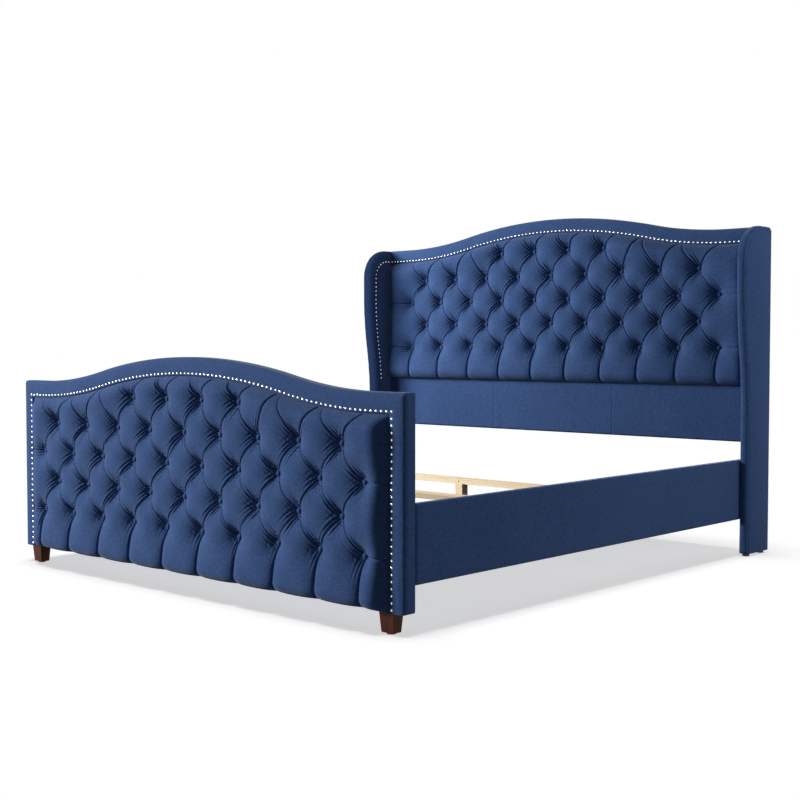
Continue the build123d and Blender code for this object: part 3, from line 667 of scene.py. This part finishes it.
def patch_points(corner, ahead, middle, behind, on_arch):
    """A grid of points over one patch, crowded towards its corner and its two outer sides.

    Where one of those sides lies on the arch, on_arch names it and the board, and it is bent to fit.
    """
    steps = np.linspace(0, 1, PATCH_POINTS + 1) ** CROWDING
    u, v = np.meshgrid(steps, steps, indexing="ij")
    corner, ahead, middle, behind = (np.array(p)[None, None] for p in (corner, ahead, middle, behind))
    u, v = u[..., None], v[..., None]
    points = (1 - u) * (1 - v) * corner + u * (1 - v) * ahead + u * v * middle + (1 - u) * v * behind
    if on_arch is not None:
        side, board = on_arch
        row = points[:, 0] if side == "ahead" else points[0]
        lift = arch_height(row[:, 0], board.end_top, BAND + PAD_GAP) - row[:, 1]
        fade = 1 - (v[..., 0] if side == "ahead" else u[..., 0])
        points[..., 1] += fade * (lift[:, None] if side == "ahead" else lift[None, :])
    return points


def pad_layout(board):
    """All points and quads of a flat pad, as seen from the front."""
    points, quads = [], []
    grid = sheet_faces(PATCH_POINTS + 1, PATCH_POINTS + 1)
    for corners, arched in tuft_outlines(board):
        corners = [np.array(c) for c in corners]
        middle = sum(corners) / len(corners)
        middles = [(c + corners[(i + 1) % len(corners)]) / 2 for i, c in enumerate(corners)]
        if arched:
            middles[0][1] = pad_top(middles[0][0], board)
        for i, corner in enumerate(corners):
            on_arch = {0: ("ahead", board), 1: ("behind", board)}.get(i) if arched else None
            patch = patch_points(corner, middles[i], middle, middles[i - 1], on_arch)
            quads.append(grid + len(points) * (PATCH_POINTS + 1) ** 2)
            points.append(patch.reshape(-1, 2))
    return np.concatenate(points), np.concatenate(quads)


# %% [markdown]
# Foam presses the cover outwards, and the cover is held at the buttons, in the pleats and round the
# border. A cloth simulation does just that: pressure from behind, no gravity, and those points
# pinned. No point may move more than a few millimetres, so the layout stays as it was made.

# %% Let the cloth settle over its filling
PRESSURE = 4.0
SETTLING_FRAMES = 20
SETTLING_QUALITY = 3


def settle(piece, held, limit):
    """Lets the filling press a cloth out. Points that are held stay, and no point moves past the limit."""
    before = points_of(piece)
    group = piece.vertex_groups.new(name="held")
    group.add(np.flatnonzero(held).tolist(), 1.0, "REPLACE")
    cloth = take(piece).modifiers.new("Cloth", "CLOTH")
    cloth.settings.vertex_group_mass = group.name
    cloth.settings.use_pressure = True
    cloth.settings.uniform_pressure_force = PRESSURE
    cloth.settings.effector_weights.gravity = 0.0
    cloth.settings.quality = SETTLING_QUALITY
    for number in range(1, SETTLING_FRAMES + 1):
        bpy.context.scene.frame_set(number)
    bpy.ops.object.modifier_apply(modifier=cloth.name)
    bpy.context.scene.frame_set(1)
    piece.vertex_groups.clear()
    moved = points_of(piece) - before
    length = np.linalg.norm(moved, axis=1, keepdims=True)
    print(piece.name, "settled by up to", round(float(length.max()) * 1000, 1), "mm")
    move_points(piece, before + moved * np.minimum(1, limit / np.maximum(length, 1e-9)))


# %% [markdown]
# The pad's mesh is raised to its height, settles, and is then subdivided once. The sharp creases
# and the wrinkles come last, so that nothing rounds them off.

# %% Raise a pad
SETTLING = 0.003
FOLD_PIN, BUTTON_PIN, BORDER_PIN = 0.002, 0.012, 0.006
FULL_RISE = 0.012
HEM = 0.02
SCALLOP_REACH, SCALLOP_MIDDLE = 0.03, 0.4


def tufted_pad(board, bottom_roll, bottom_tuck, scallop, seed):
    """The tufted pad of a board, from its layout to its raised front."""
    flat, quads = pad_layout(board)
    points = np.column_stack([flat[:, 0], np.full(len(flat), board.front), flat[:, 1]])
    pad = mesh_piece(f"{board.name}_tufting", points, quads[:, ::-1])
    merge(pad)
    points = points_of(pad)
    flat = points[:, [0, 2]]
    seat = board.front + SEAT_DEPTH
    points[:, 1] = seat - cover_height(flat, board, bottom_roll)
    move_points(pad, points)
    fold = np.min([distance_to(flat, pleat.start, pleat.end)[0] for pleat in pleats(board)], axis=0)
    button = np.min([np.linalg.norm(flat - place, axis=1) for place in button_places(board)], axis=0)
    settle(pad, (fold < FOLD_PIN) | (button < BUTTON_PIN) | (points[:, 1] > seat - BORDER_PIN), SETTLING)
    modify(pad, "SUBSURF", levels=1, boundary_smooth="PRESERVE_CORNERS")
    points = points_of(pad)
    flat = points[:, [0, 2]]
    rise = seat - points[:, 1]
    folds = fan_height(flat, board, seed) - crease_depth(flat, board)
    points[:, 1] -= folds * np.clip(rise / FULL_RISE, 0, 1)
    low = flat[:, 1] < board.low + HEM
    points[low, 1] = np.minimum(points[low, 1], board.front + bottom_tuck)
    bell = np.abs(np.cos(math.pi * flat[:, 0] / PITCH))
    near_hem = np.exp(-((flat[:, 1] - board.low) / SCALLOP_REACH) ** 2)
    points[:, 2] -= scallop * (bell - SCALLOP_MIDDLE) * near_hem
    move_points(pad, points)
    return pad


# %% [markdown]
# A pad's open border is carried straight back to the deck and closed, as by hand: the border loop
# is selected, extruded, flattened on to a plane and filled. A last helper dresses a finished
# fabric piece and hides the CAD solid it stands for.

# %% Close a pad, and dress it in cloth
def close_behind(piece, plane):
    """Carries the open border of a front back to a plane along Y, and closes it there."""
    take(piece)
    bpy.ops.object.mode_set(mode="EDIT")
    bpy.ops.mesh.select_all(action="SELECT")
    bpy.ops.mesh.region_to_loop()
    bpy.ops.mesh.extrude_edges_move()
    bpy.ops.transform.resize(value=(1, 0, 1), center_override=(0, plane, 0))
    bpy.ops.mesh.edge_face_add()
    bpy.ops.object.mode_set(mode="OBJECT")
    edit(piece, bpy.ops.mesh.normals_make_consistent, inside=False)


def soft(piece, nodes):
    """Finishes an upholstered piece: smooth, clothed, on its body and in place of its nodes."""
    take(piece)
    bpy.ops.object.shade_smooth()
    piece.data.materials.clear()
    piece.data.materials.append(linen_blue)
    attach(piece, "bed_frame")
    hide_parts(*nodes)
    print(piece.name, len(piece.data.polygons), "faces")
    return piece


BOTTOM_ROLL = {"footboard": 0.036, "headboard": 0.042}
BOTTOM_TUCK = {"footboard": SEAT_DEPTH, "headboard": 0.0015}
SCALLOP = {"footboard": 0.0032, "headboard": 0.0}

for board, seed in ((foot, 11), (head, 23)):
    pad = tufted_pad(board, BOTTOM_ROLL[board.name], BOTTOM_TUCK[board.name], SCALLOP[board.name], seed)
    close_behind(pad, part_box(f"{board.name}_tufted_pad")[1].y)
    soft(pad, [f"{board.name}_tufted_pad"])

# %% [markdown]
# ## Covered buttons
# Each button is a metal shell with the same cloth stretched over it. One is modelled from a
# sphere: cut off below and flattened. It is then set in every funnel, turned a little differently
# each time.

# %% Buttons
BUTTON_RADIUS = 0.0114
BUTTON_HEIGHT = 0.0140
BUTTON_CUT = 0.35
BUTTON_TILT = 0.06


def one_button():
    """A covered button on the XY plane, and its points and faces."""
    bpy.ops.object.select_all(action="DESELECT")
    bpy.ops.mesh.primitive_uv_sphere_add(segments=20, ring_count=12, radius=BUTTON_RADIUS)
    button = bpy.context.object
    trim(button, (0, 0, -BUTTON_CUT * BUTTON_RADIUS), (0, 0, -1))
    points = points_of(button)
    base = points[:, 2].min()
    points[:, 2] = (points[:, 2] - base) / (BUTTON_RADIUS - base) * BUTTON_HEIGHT
    faces = [list(p.vertices) for p in button.data.polygons]
    bpy.data.objects.remove(button)
    return points, faces


button_points, button_faces = one_button()
for board, seed in ((foot, 5), (head, 6)):
    chance = np.random.default_rng(seed)
    points, faces = [], []
    for x, z in button_places(board):
        turn, tilt = chance.uniform(0, 2 * math.pi), chance.uniform(-BUTTON_TILT, BUTTON_TILT, 2)
        spun = button_points.copy()
        spun[:, 0] = button_points[:, 0] * math.cos(turn) - button_points[:, 1] * math.sin(turn)
        spun[:, 1] = button_points[:, 0] * math.sin(turn) + button_points[:, 1] * math.cos(turn)
        out = spun[:, 2] * (1 + tilt[0] * spun[:, 0] / BUTTON_RADIUS + tilt[1] * spun[:, 1] / BUTTON_RADIUS)
        faces += [[v + len(points) * len(spun) for v in f] for f in button_faces]
        points.append(np.column_stack([x + spun[:, 0], board.front + SEAT_DEPTH - out, z + spun[:, 1]]))
    mesh = bpy.data.meshes.new(f"{board.name}_covered_buttons")
    mesh.from_pydata(np.concatenate(points).tolist(), [], faces)
    buttons = new_object(mesh.name, mesh)
    edit(buttons, bpy.ops.mesh.normals_make_consistent, inside=False)
    soft(buttons, [f"{board.name}_buttons"])

# %% [markdown]
# ## Borders
# A wrapped border runs up one side of the board, over the arch and down the other side. Its
# section starts at the back, comes forward over the rim, rounds the front corner and crosses the
# band to the pad. The band is lightly padded, so it crowns a little between the rim and the nails,
# which press it flat. The section is carried along the outline as rows of points.

# %% Border section
RIM_ROUND = 0.016
BACK_ROUND = 0.003
BAND_CROWN = 0.0014
BOARD_CORNER = 0.009
NAIL_DROP = 0.056
NAIL_FLAT = 0.004
DECK_DEPTH = 0.008
TURN_IN = 0.0003


def border_section(board):
    """The section as pairs: how far in from the board's edge, and where along Y."""
    deck = board.front + DECK_DEPTH
    section = [(BACK_ROUND * (1 - math.sin(a)), board.back - BACK_ROUND * (1 - math.cos(a)))
               for a in np.linspace(0, math.pi / 2, 4)]
    section += [(0.0, y) for y in np.linspace(board.back - BACK_ROUND, board.front + RIM_ROUND, 9)[1:-1]]
    section += [(RIM_ROUND * (1 - math.cos(a)), board.front + RIM_ROUND * (1 - math.sin(a)))
                for a in np.linspace(0, math.pi / 2, 8)]
    for share in np.linspace(0, 1, 14)[1:]:
        inward = RIM_ROUND + share * (NAIL_DROP - RIM_ROUND)
        section.append((inward, board.front - BAND_CROWN * math.sin(math.pi * share) ** 0.8))
    section += [(NAIL_DROP + NAIL_FLAT, board.front + 0.0004), (BAND, board.front + 0.0022)]
    section += [(BAND + 0.0009, deck - TURN_IN), (BAND + 0.0030, deck - TURN_IN)]
    return section


print("points across the border:", len(border_section(foot)))

# %% [markdown]
# Each point of the section gives one row round the board: up the side, round the top corner, along
# the arch and down again. A turned strip of cloth closes the underside and is joined to the border.

# %% Carry the section round a board
SKIN = 0.0034
SWELL = 0.0004
STRIP = 0.0034
STRIP_LIFT = 0.0018
STRIP_SETBACK = 0.010


def border(board, side_share, corner, seed):
    """The wrapped border of a board. On its sides the band is side_share as wide as on the arch."""
    rows = []
    for inward, y in border_section(board):
        x_edge = half_width - inward * side_share
        top = float(arch_height(x_edge, board.end_top, inward))
        turn = max(corner - inward, 0.0004)
        bend = np.linspace(0, math.pi / 2, 8)
        low_x, low_z = turn * (1 - np.sin(bend)), turn * (1 - np.cos(bend))
        straight = np.linspace(board.bottom + turn, top - turn, 50)[1:-1]
        rise = np.concatenate([board.bottom + low_z, straight, top - low_z[::-1]])
        side = x_edge - np.concatenate([low_x, np.zeros(len(straight)), low_x[::-1]])
        across = np.linspace(-1, 1, 260)[1:-1] * (x_edge - turn)
        xs = np.concatenate([-side, across, side[::-1]])
        zs = np.concatenate([rise, arch_height(across, board.end_top, inward), rise[::-1]])
        on_band = RIM_ROUND < inward < NAIL_DROP - NAIL_FLAT
        swell = SWELL * ripple(xs, zs + y, 0.16, seed) if on_band else 0
        rows.append(np.column_stack([xs, np.full(len(xs), y) + swell, zs]))
    inside = (0, (board.front + board.back) / 2, (board.bottom + board.end_top) / 2)
    piece = lofted(f"{board.name}_border", rows, inside)
    modify(piece, "SOLIDIFY", thickness=SKIN, offset=-1.0, use_even_offset=True)
    return piece


def bottom_strip(board, name):
    """The strip of cloth that closes a board's underside."""
    depth = board.back - board.front - STRIP_SETBACK
    bpy.ops.object.select_all(action="DESELECT")
    bpy.ops.mesh.primitive_cube_add(size=1, location=(0, board.back - depth / 2, board.bottom + STRIP_LIFT))
    strip = bpy.context.object
    strip.name = strip.data.name = name
    strip.scale = (2 * (half_width - BOARD_CORNER), depth, STRIP)
    bpy.ops.object.transform_apply(location=True, rotation=False, scale=True)
    modify(strip, "BEVEL", width=0.0012, segments=3)
    return strip


def join(pieces, name):
    """Joins pieces into one and names it."""
    take(pieces[0])
    for other in pieces[1:]:
        other.select_set(True)
    bpy.ops.object.join()
    pieces[0].name = pieces[0].data.name = name
    return pieces[0]


for board, side_share, corner, seed in ((foot, 62 / 63, BOARD_CORNER, 31), (head, 12 / 63, 0.0, 32)):
    wrapped = border(board, side_share, corner, seed)
    strip = bottom_strip(board, f"{board.name}_underside")
    piece = join([wrapped, strip], f"{board.name}_border")
    soft(piece, [f"{board.name}_cover"])

# %% [markdown]
# ## Flat upholstered panels
# The lower panel of the headboard is cloth over a thin layer of foam. A grid of points carries a
# rounded edge, the faint waves of stretched cloth and the seams where two widths of cloth meet.

# %% Lower panel of the headboard
PANEL_EDGE = 0.004
SEAM_WIDTH = 0.0022
SEAM_DEPTH = 0.0011
PANEL_SWELL = 0.0005


def seam_dip(distance):
    """How deep a sewn seam pulls the cloth in, at a distance from it."""
    return SEAM_DEPTH * np.exp(-(distance / SEAM_WIDTH) ** 2)


def around(seams, half, count):
    """Places from -half to half, with more of them beside each seam."""
    places = set(np.linspace(-half, half, count).round(5))
    for seam in seams:
        places |= {round(seam + SEAM_WIDTH * step, 5) for step in (-3, -2, -1.2, -0.6, 0, 0.6, 1.2, 2, 3)}
    return np.array(sorted(places))


def crowned_edge(distance):
    """The drop of a panel's face near its edge."""
    return PANEL_EDGE * (1 - rounded(distance, PANEL_EDGE))


panel_low, panel_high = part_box("headboard_lower_panel")
widths = (panel_high.x - panel_low.x) / 3
seams = [-widths / 2, widths / 2]
half_panel = panel_high.x
edge_steps = PANEL_EDGE * np.array([0, 0.05, 0.18, 0.4, 0.7, 1.0])
xs = np.unique(np.concatenate([around(seams, half_panel - PANEL_EDGE, 120), half_panel - edge_steps,
                               edge_steps - half_panel]).round(5))
zs = np.unique(np.concatenate([np.linspace(panel_low.z + PANEL_EDGE, panel_high.z - PANEL_EDGE, 28),
                               panel_low.z + edge_steps, panel_high.z - edge_steps]).round(5))
gx, gz = np.meshgrid(xs, zs)
inset = np.minimum(half_panel - np.abs(gx), np.minimum(gz - panel_low.z, panel_high.z - gz))
waves = PANEL_SWELL * ripple(gx, gz, 0.22, 41) * np.clip(inset / 0.02, 0, 1)
ys = panel_low.y + crowned_edge(inset) + waves
for seam in seams:
    ys += seam_dip(gx - seam)
lower = lofted("headboard_lower_cloth", np.stack([gx, ys, gz], axis=-1), (0, panel_high.y, 0.5))
close_behind(lower, panel_high.y)
soft(lower, ["headboard_lower_panel"])

# %% [markdown]
# The back of a board is one cloth, stapled flat under a turned edge just inside the border. It is
# the same kind of grid, cut to the arch, with no seams.

# %% Backs of the boards
BACK_GAP = 0.0043
BACK_FALL = 0.0022


def back_cloth(board, seed):
    """The cloth-covered back of a board, stapled under a turned edge."""
    across = np.linspace(-1, 1, 200)
    up = np.concatenate([[0, 0.004, 0.012], np.linspace(0.03, 0.97, 40), [0.988, 0.996, 1]])
    gx, gu = np.meshgrid(across * (half_width - BACK_GAP), up)
    top = arch_height(gx, board.end_top, BACK_GAP)
    low = board.bottom + BACK_GAP
    gz = low + gu * (top - low)
    inset = np.minimum(half_width - BACK_GAP - np.abs(gx), np.minimum(gz - low, top - gz))
    fall = BACK_FALL * (1 - rounded(inset, 0.006))
    ys = board.back - fall + SWELL * ripple(gx, gz, 0.30, seed) * np.clip(inset / 0.03, 0, 1)
    piece = lofted(f"{board.name}_back_cloth", np.stack([gx, ys, gz], axis=-1), (0, board.front, low))
    close_behind(piece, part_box(f"{board.name}_back_panel")[0].y)
    return soft(piece, [f"{board.name}_back_panel"])


back_cloth(foot, 51)
back_cloth(head, 52)

# %% [markdown]
# ## Side rails
# A rail is a board in a wrap of foam and cloth. Its section is a rounded rectangle with a slightly
# full outer face, carried along the rail, with one seam where the widths of cloth meet.

# %% Rails
RAIL_ROUND = 0.0075
RAIL_SKIN = 0.0036
RAIL_FULL = 0.0007


def rail_cloth(side, seed):
    """The wrap of one side rail."""
    low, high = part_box(f"side_rail_cover_{side}")
    middle = (low + high) / 2
    half_x, half_z = (high.x - low.x) / 2, (high.z - low.z) / 2
    section = []
    for corner_x, corner_z, begin in ((1, 1, 0), (-1, 1, 90), (-1, -1, 180), (1, -1, 270)):
        for a in np.radians(np.linspace(begin, begin + 90, 6)):
            section.append((corner_x * (half_x - RAIL_ROUND) + RAIL_ROUND * math.cos(a),
                            corner_z * (half_z - RAIL_ROUND) + RAIL_ROUND * math.sin(a)))
        if corner_x * corner_z > 0:
            span = half_x - RAIL_ROUND
            section += [(corner_x * s, corner_z * half_z) for s in np.linspace(span, -span, 5)[1:-1]]
        else:
            span = half_z - RAIL_ROUND
            section += [(corner_x * half_x, corner_z * s) for s in np.linspace(span, -span, 26)[1:-1]]
    section = np.array(section + section[:1])
    length = high.y - low.y
    seam = low.y + length * 2 / 3
    places = around([seam - middle.y], length / 2, 150) + middle.y
    rows = []
    for y in places:
        full = RAIL_FULL * np.clip(1 - (section[:, 1] / half_z) ** 2, 0, 1) ** 0.5
        wave = SWELL * ripple(np.full(len(section), y), section[:, 1], 0.20, seed)
        flat_part = np.abs(section[:, 1]) < half_z - RAIL_ROUND - 0.002
        out = np.sign(section[:, 0]) * np.where(flat_part, full + wave - seam_dip(y - seam), 0)
        rows.append(np.column_stack([middle.x + section[:, 0] + out, np.full(len(section), y),
                                     middle.z + section[:, 1]]))
    piece = lofted(f"side_rail_cloth_{side}", rows, middle)
    modify(piece, "SOLIDIFY", thickness=RAIL_SKIN, offset=-1.0)
    return soft(piece, [f"side_rail_cover_{side}"])


rail_cloth("right", 61)
rail_cloth("left", 62)

# %% [markdown]
# ## Wings
# The inner face of a wing is a soft pad. Its cloth rolls round the front and the top and a finger's
# width on to the outside, where it meets the side cloth in a welted seam. The plain CAD solids have
# the right size, so copies of pad and side are joined, remeshed into even voxels and smoothed.
# Inside the seam the pad is then pressed in to make room for the side cloth.

# %% Wing pads
WING_VOXEL = 0.0055
WRAP = 0.013
SEAM_PULL = 0.0022
WING_SETTLING = 0.002
NAIL_PIN = 0.012
REAR_PIN = 0.020
FOOT_PIN = 0.03


def copy_of(node, name):
    """A copy of a CAD solid, with its faces joined into one skin."""
    copy = new_object(name, frame["nodes"][node].data.copy())
    merge(copy)
    return copy


def front_line(node):
    """The front edge of a flat side, as heights and as the place along Y at each."""
    points = points_of(frame["nodes"][node])
    heights = np.unique(points[:, 2].round(4))
    return heights, np.array([points[abs(points[:, 2] - z) < 0.0001, 1].min() for z in heights])


def wing_pad(side):
    """The padded inner face of a wing, rolled round its front on to the outside."""
    node = f"wing_outer_panel_{side}"
    low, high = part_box(node)
    inner = min(abs(low.x), abs(high.x))
    heights, front = front_line(node)
    pad = join([copy_of(f"wing_inner_pad_{side}", "pad"), copy_of(node, "side")], f"wing_pad_{side}")
    modify(pad, "REMESH", mode="VOXEL", voxel_size=WING_VOXEL)
    modify(pad, "SMOOTH", factor=0.5, iterations=5)
    points = points_of(pad)
    out, up = np.abs(points[:, 0]), points[:, 2]
    nail_line = np.interp(up + NAIL_DROP, heights, front) + NAIL_DROP
    held = (abs(points[:, 1] - nail_line) < NAIL_PIN) | (abs(high.z - NAIL_DROP - up) < NAIL_PIN)
    held |= (out > inner - 0.004) | (points[:, 1] > high.y - REAR_PIN) | (up < FOOT_PIN)
    settle(pad, held, WING_SETTLING)
    points = points_of(pad)
    out, up = np.abs(points[:, 0]), points[:, 2]
    within = np.minimum(points[:, 1] - np.interp(up + WRAP, heights, front) - WRAP, high.z - WRAP - up)
    pulled = np.where(within > 0.001, inner - 0.0002, out - SEAM_PULL * np.exp(-(within / 0.003) ** 2))
    points[:, 0] = np.sign(points[:, 0]) * np.where(out > inner, pulled, out)
    move_points(pad, points)
    return soft(pad, [f"wing_inner_pad_{side}"])


wing_pad("right")
wing_pad("left")

# %% [markdown]
# The outside of a wing is cloth over a flat board: the CAD side, set back by the wrap of the pad,
# trimmed at the back and the foot, and with softly rounded edges. The welt in its seam is a fine
# cord in a strip of the same cloth.

# %% Side cloths and welts
CLOTH_STEP = 0.0006
WELT_STEP = 0.0014


def set_back(node, name, step):
    """A copy of a CAD solid, moved in by the wrap and out by a step, and trimmed at back and foot."""
    low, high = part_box(node)
    piece = copy_of(node, name)
    points = points_of(piece)
    points += (math.copysign(step, high.x), WRAP, -WRAP)
    move_points(piece, points)
    trim(piece, (0, high.y, 0), (0, 1, 0))
    trim(piece, (0, 0, low.z), (0, 0, -1))
    return piece


for side in ("right", "left"):
    panel = set_back(f"wing_outer_panel_{side}", f"wing_side_cloth_{side}", CLOTH_STEP)
    modify(panel, "BEVEL", width=0.0016, segments=3, limit_method="ANGLE", angle_limit=math.radians(50))
    soft(panel, [f"wing_outer_panel_{side}"])
    bpy.ops.object.shade_smooth_by_angle(angle=math.radians(35))
    welt = set_back(f"wing_piping_{side}", f"wing_welt_{side}", WELT_STEP)
    soft(welt, [f"wing_piping_{side}"])

# %% [markdown]
# ## Floor, light and camera
# The bed stands on a plain white floor in a white room. What the camera and the shiny nails see of
# them is white, while the light that falls from them on the bed is softer. Light Path tells one
# from the other.

# %% Floor
FLOOR_SIZE = 60.0
FLOOR_LIFT = 0.58
FLOOR_BOUNCE = 0.30


def seen_rays(tree, *kinds):
    """1 where one of these kinds of ray looks, and 0 for the rays that carry light."""
    path = add(tree, "LightPath")
    seen = path.outputs[kinds[0]]
    for kind in kinds[1:]:
        seen = add(tree, "Math", {"operation": "MAXIMUM"}, {0: seen, 1: path.outputs[kind]}).outputs[0]
    return seen


bpy.ops.object.select_all(action="DESELECT")
bpy.ops.mesh.primitive_plane_add(size=FLOOR_SIZE, location=(0, 0, 0))
floor = bpy.context.object
floor.name = floor.data.name = "studio_floor"
material, tree, place = new_material("painted_floor_white")
grain = add(tree, "TexNoise", inputs={"Vector": place, "Scale": 40.0})
paint = add(tree, "MapRange", inputs={"Value": grain.outputs[0], "To Min": 0.93, "To Max": 0.95})
seen = seen_rays(tree, "Is Camera Ray", "Is Glossy Ray")
tone = add(tree, "MapRange", inputs={"Value": seen, "To Min": FLOOR_BOUNCE, "To Max": paint.outputs[0]})
diffuse = add(tree, "BsdfDiffuse", inputs={"Color": tone.outputs[0]})
lift = add(tree, "Math", {"operation": "MULTIPLY"}, {0: seen, 1: FLOOR_LIFT})
glow = add(tree, "Emission", inputs={"Color": (1, 1, 1, 1), "Strength": lift.outputs[0]})
close_material(tree, add(tree, "AddShader", inputs={0: diffuse.outputs[0], 1: glow.outputs[0]}))
floor.data.materials.append(material)
print("floor ready:", floor.name)

# %% [markdown]
# The room is the world. It is white behind the bed and in the nails, and dim as a source of light,
# so that the softboxes shape the tufts.

# %% Room
ROOM_LIGHT = 0.055

world = bpy.data.worlds.new("white_room")
bpy.context.scene.world = world
world.use_nodes = True
tree = world.node_tree
tree.nodes.clear()
seen = seen_rays(tree, "Is Camera Ray", "Is Glossy Ray", "Is Transmission Ray")
strength = add(tree, "MapRange", inputs={"Value": seen, "To Min": ROOM_LIGHT, "To Max": 1.0})
room = add(tree, "Background", inputs={"Color": (1, 1, 1, 1), "Strength": strength.outputs[0]})
add(tree, "OutputWorld", inputs={"Surface": room.outputs[0]})
print("room ready:", world.name)

# %% [markdown]
# The light comes from softboxes high on the left, so each well has a dark side and each tuft a
# bright one. A weak one on the right fills the rail and the outside of the wing.

# %% Lamps
def sun(name, strength, softness, toward):
    """A broad lamp far away, shining along a direction."""
    lamp = bpy.data.lights.new(name, "SUN")
    lamp.energy = strength
    lamp.angle = math.radians(softness)
    holder = new_object(name, lamp)
    away = -np.array(toward, float)
    spread = math.hypot(away[0], away[1])
    holder.rotation_euler = (math.atan2(spread, away[2]), 0, math.atan2(away[0], -away[1]))
    return holder


def softbox(name, power, size, place, aim):
    """A square softbox at a place, aimed at a point."""
    lamp = bpy.data.lights.new(name, "AREA")
    lamp.energy = power
    lamp.size = size
    holder = new_object(name, lamp)
    holder.location = place
    holder.visible_camera = False
    holder.rotation_euler = (Vector(aim) - Vector(place)).to_track_quat("-Z", "Y").to_euler()
    return holder


key = softbox("key_front_left", 132, 1.6, (-5.2, -5.4, 3.1), (0.0, -1.1, 0.35))
key.data.spread = math.radians(85)
side_key = softbox("key_left", 84, 1.1, (-2.6, -1.15, 1.9), (0.0, 1.04, 0.8))
far_key = softbox("key_far_left", 97, 0.9, (-3.2, -0.6, 1.9), (0.0, 1.04, 0.8))
fill = softbox("fill_right", 49, 1.4, (3.7, 1.0, 2.6), (1.05, 0.8, 0.9))
wing_key = softbox("key_wing", 64, 1.2, (-0.35, -2.7, 1.9), (-1.0, 0.9, 0.8))
back_key = softbox("key_back", 300, 2.0, (1.5, 4.2, 4.5), (0.0, 0.3, 0.6))
top = sun("overhead", 1.25, 22, (0.02, 0.05, -1.0))

print("lamps:", [lamp.name for lamp in (key, side_key, far_key, fill, wing_key, back_key, top)])

# %% [markdown]
# Light linking sets which pieces a lamp shines on. The boards stand at different distances from the
# left, so each has key lamps of its own. The fill is kept out of the tufting, so its wells stay
# deep. The left wing, which turns its face away from the keys, has a softbox in front of it, and
# the backs of the boards have one behind them. The floor has the overhead lamp alone, so that the
# only shadow there is the bed's own, right under it.

# %% Share out the light
def link_light(lamps, role, name, pieces, state):
    """Links lamps to these pieces alone (INCLUDE) or to all but these (EXCLUDE)."""
    group = bpy.data.collections.new(name)
    for place, piece in enumerate(pieces):
        group.objects.link(piece)
        group.collection_objects[place].light_linking.link_state = state
    for lamp in lamps:
        setattr(lamp.light_linking, role, group)


def pieces_named(*ends):
    """The pieces whose names start or end with one of these."""
    return [piece for piece in bpy.data.objects if piece.name.startswith(ends) or piece.name.endswith(ends)]


LIT, SHADING = "receiver_collection", "blocker_collection"
left_wing = bpy.data.objects["wing_pad_left"]
near_end = pieces_named("footboard_")
far_end = pieces_named("headboard_", "wing_")
for lamps, name, pieces, state in (
        ([side_key, far_key], "spared_by_side_keys", [floor, left_wing] + near_end, "EXCLUDE"),
        ([key], "spared_by_front_key", [floor] + far_end, "EXCLUDE"),
        ([fill], "spared_by_fill", [floor, left_wing] + pieces_named("_tufting"), "EXCLUDE"),
        ([top], "lit_from_above", [floor], "INCLUDE"),
        ([wing_key], "lit_by_wing_key", [left_wing], "INCLUDE"),
        ([back_key], "lit_from_behind", pieces_named("_back_cloth"), "INCLUDE")):
    link_light(lamps, LIT, name, pieces, state)
    print(name, len(pieces), "pieces")

# %% [markdown]
# In the photo the floor under the bed is in even shade. So a black flag, which no camera sees,
# hangs under the slats and keeps the overhead lamp off that floor.

# %% Flag
FLAG_HEIGHT = 0.10

bpy.ops.object.select_all(action="DESELECT")
bpy.ops.mesh.primitive_plane_add(size=1, location=(0, (foot.front + head.back) / 2, FLAG_HEIGHT))
flag = bpy.context.object
flag.name = flag.data.name = "studio_flag"
flag.scale = (2 * half_width, head.back - foot.front, 1)
bpy.ops.object.transform_apply(location=False, rotation=False, scale=True)
flag.visible_camera = flag.visible_diffuse = flag.visible_glossy = flag.visible_transmission = False
material, tree, place = new_material("felt_black")
fuzz = add(tree, "TexNoise", inputs={"Vector": place, "Scale": 300.0})
black = add(tree, "MapRange", inputs={"Value": fuzz.outputs[0], "To Min": 0.01, "To Max": 0.02})
close_material(tree, add(tree, "BsdfDiffuse", inputs={"Color": black.outputs[0]}))
flag.data.materials.append(material)
unshaded = [key, side_key, far_key, fill, wing_key, back_key]
link_light(unshaded, SHADING, "not_shaded_by_flag", [flag], "EXCLUDE")
print("flag ready:", flag.name)

# %% [markdown]
# The camera stands where the photo's did. Its place, turn, dip and lens come from a least-squares
# fit to the buttons, corners and legs in the photo. Colours are shown as they are, with no film look.

# %% Camera
CAMERA_PLACE = (3.5032, -3.8029, 0.8469)
CAMERA_TURN = 42.575
CAMERA_DIP = 2.408
LENS = 58.0

camera = new_object("camera", bpy.data.cameras.new("camera"))
camera.data.sensor_width = 36.0
camera.data.lens = LENS
camera.location = CAMERA_PLACE
camera.rotation_euler = (math.radians(90 - CAMERA_DIP), 0, math.radians(CAMERA_TURN))
bpy.context.scene.camera = camera
bpy.context.scene.view_settings.view_transform = "Standard"
print("camera ready:", camera.name)
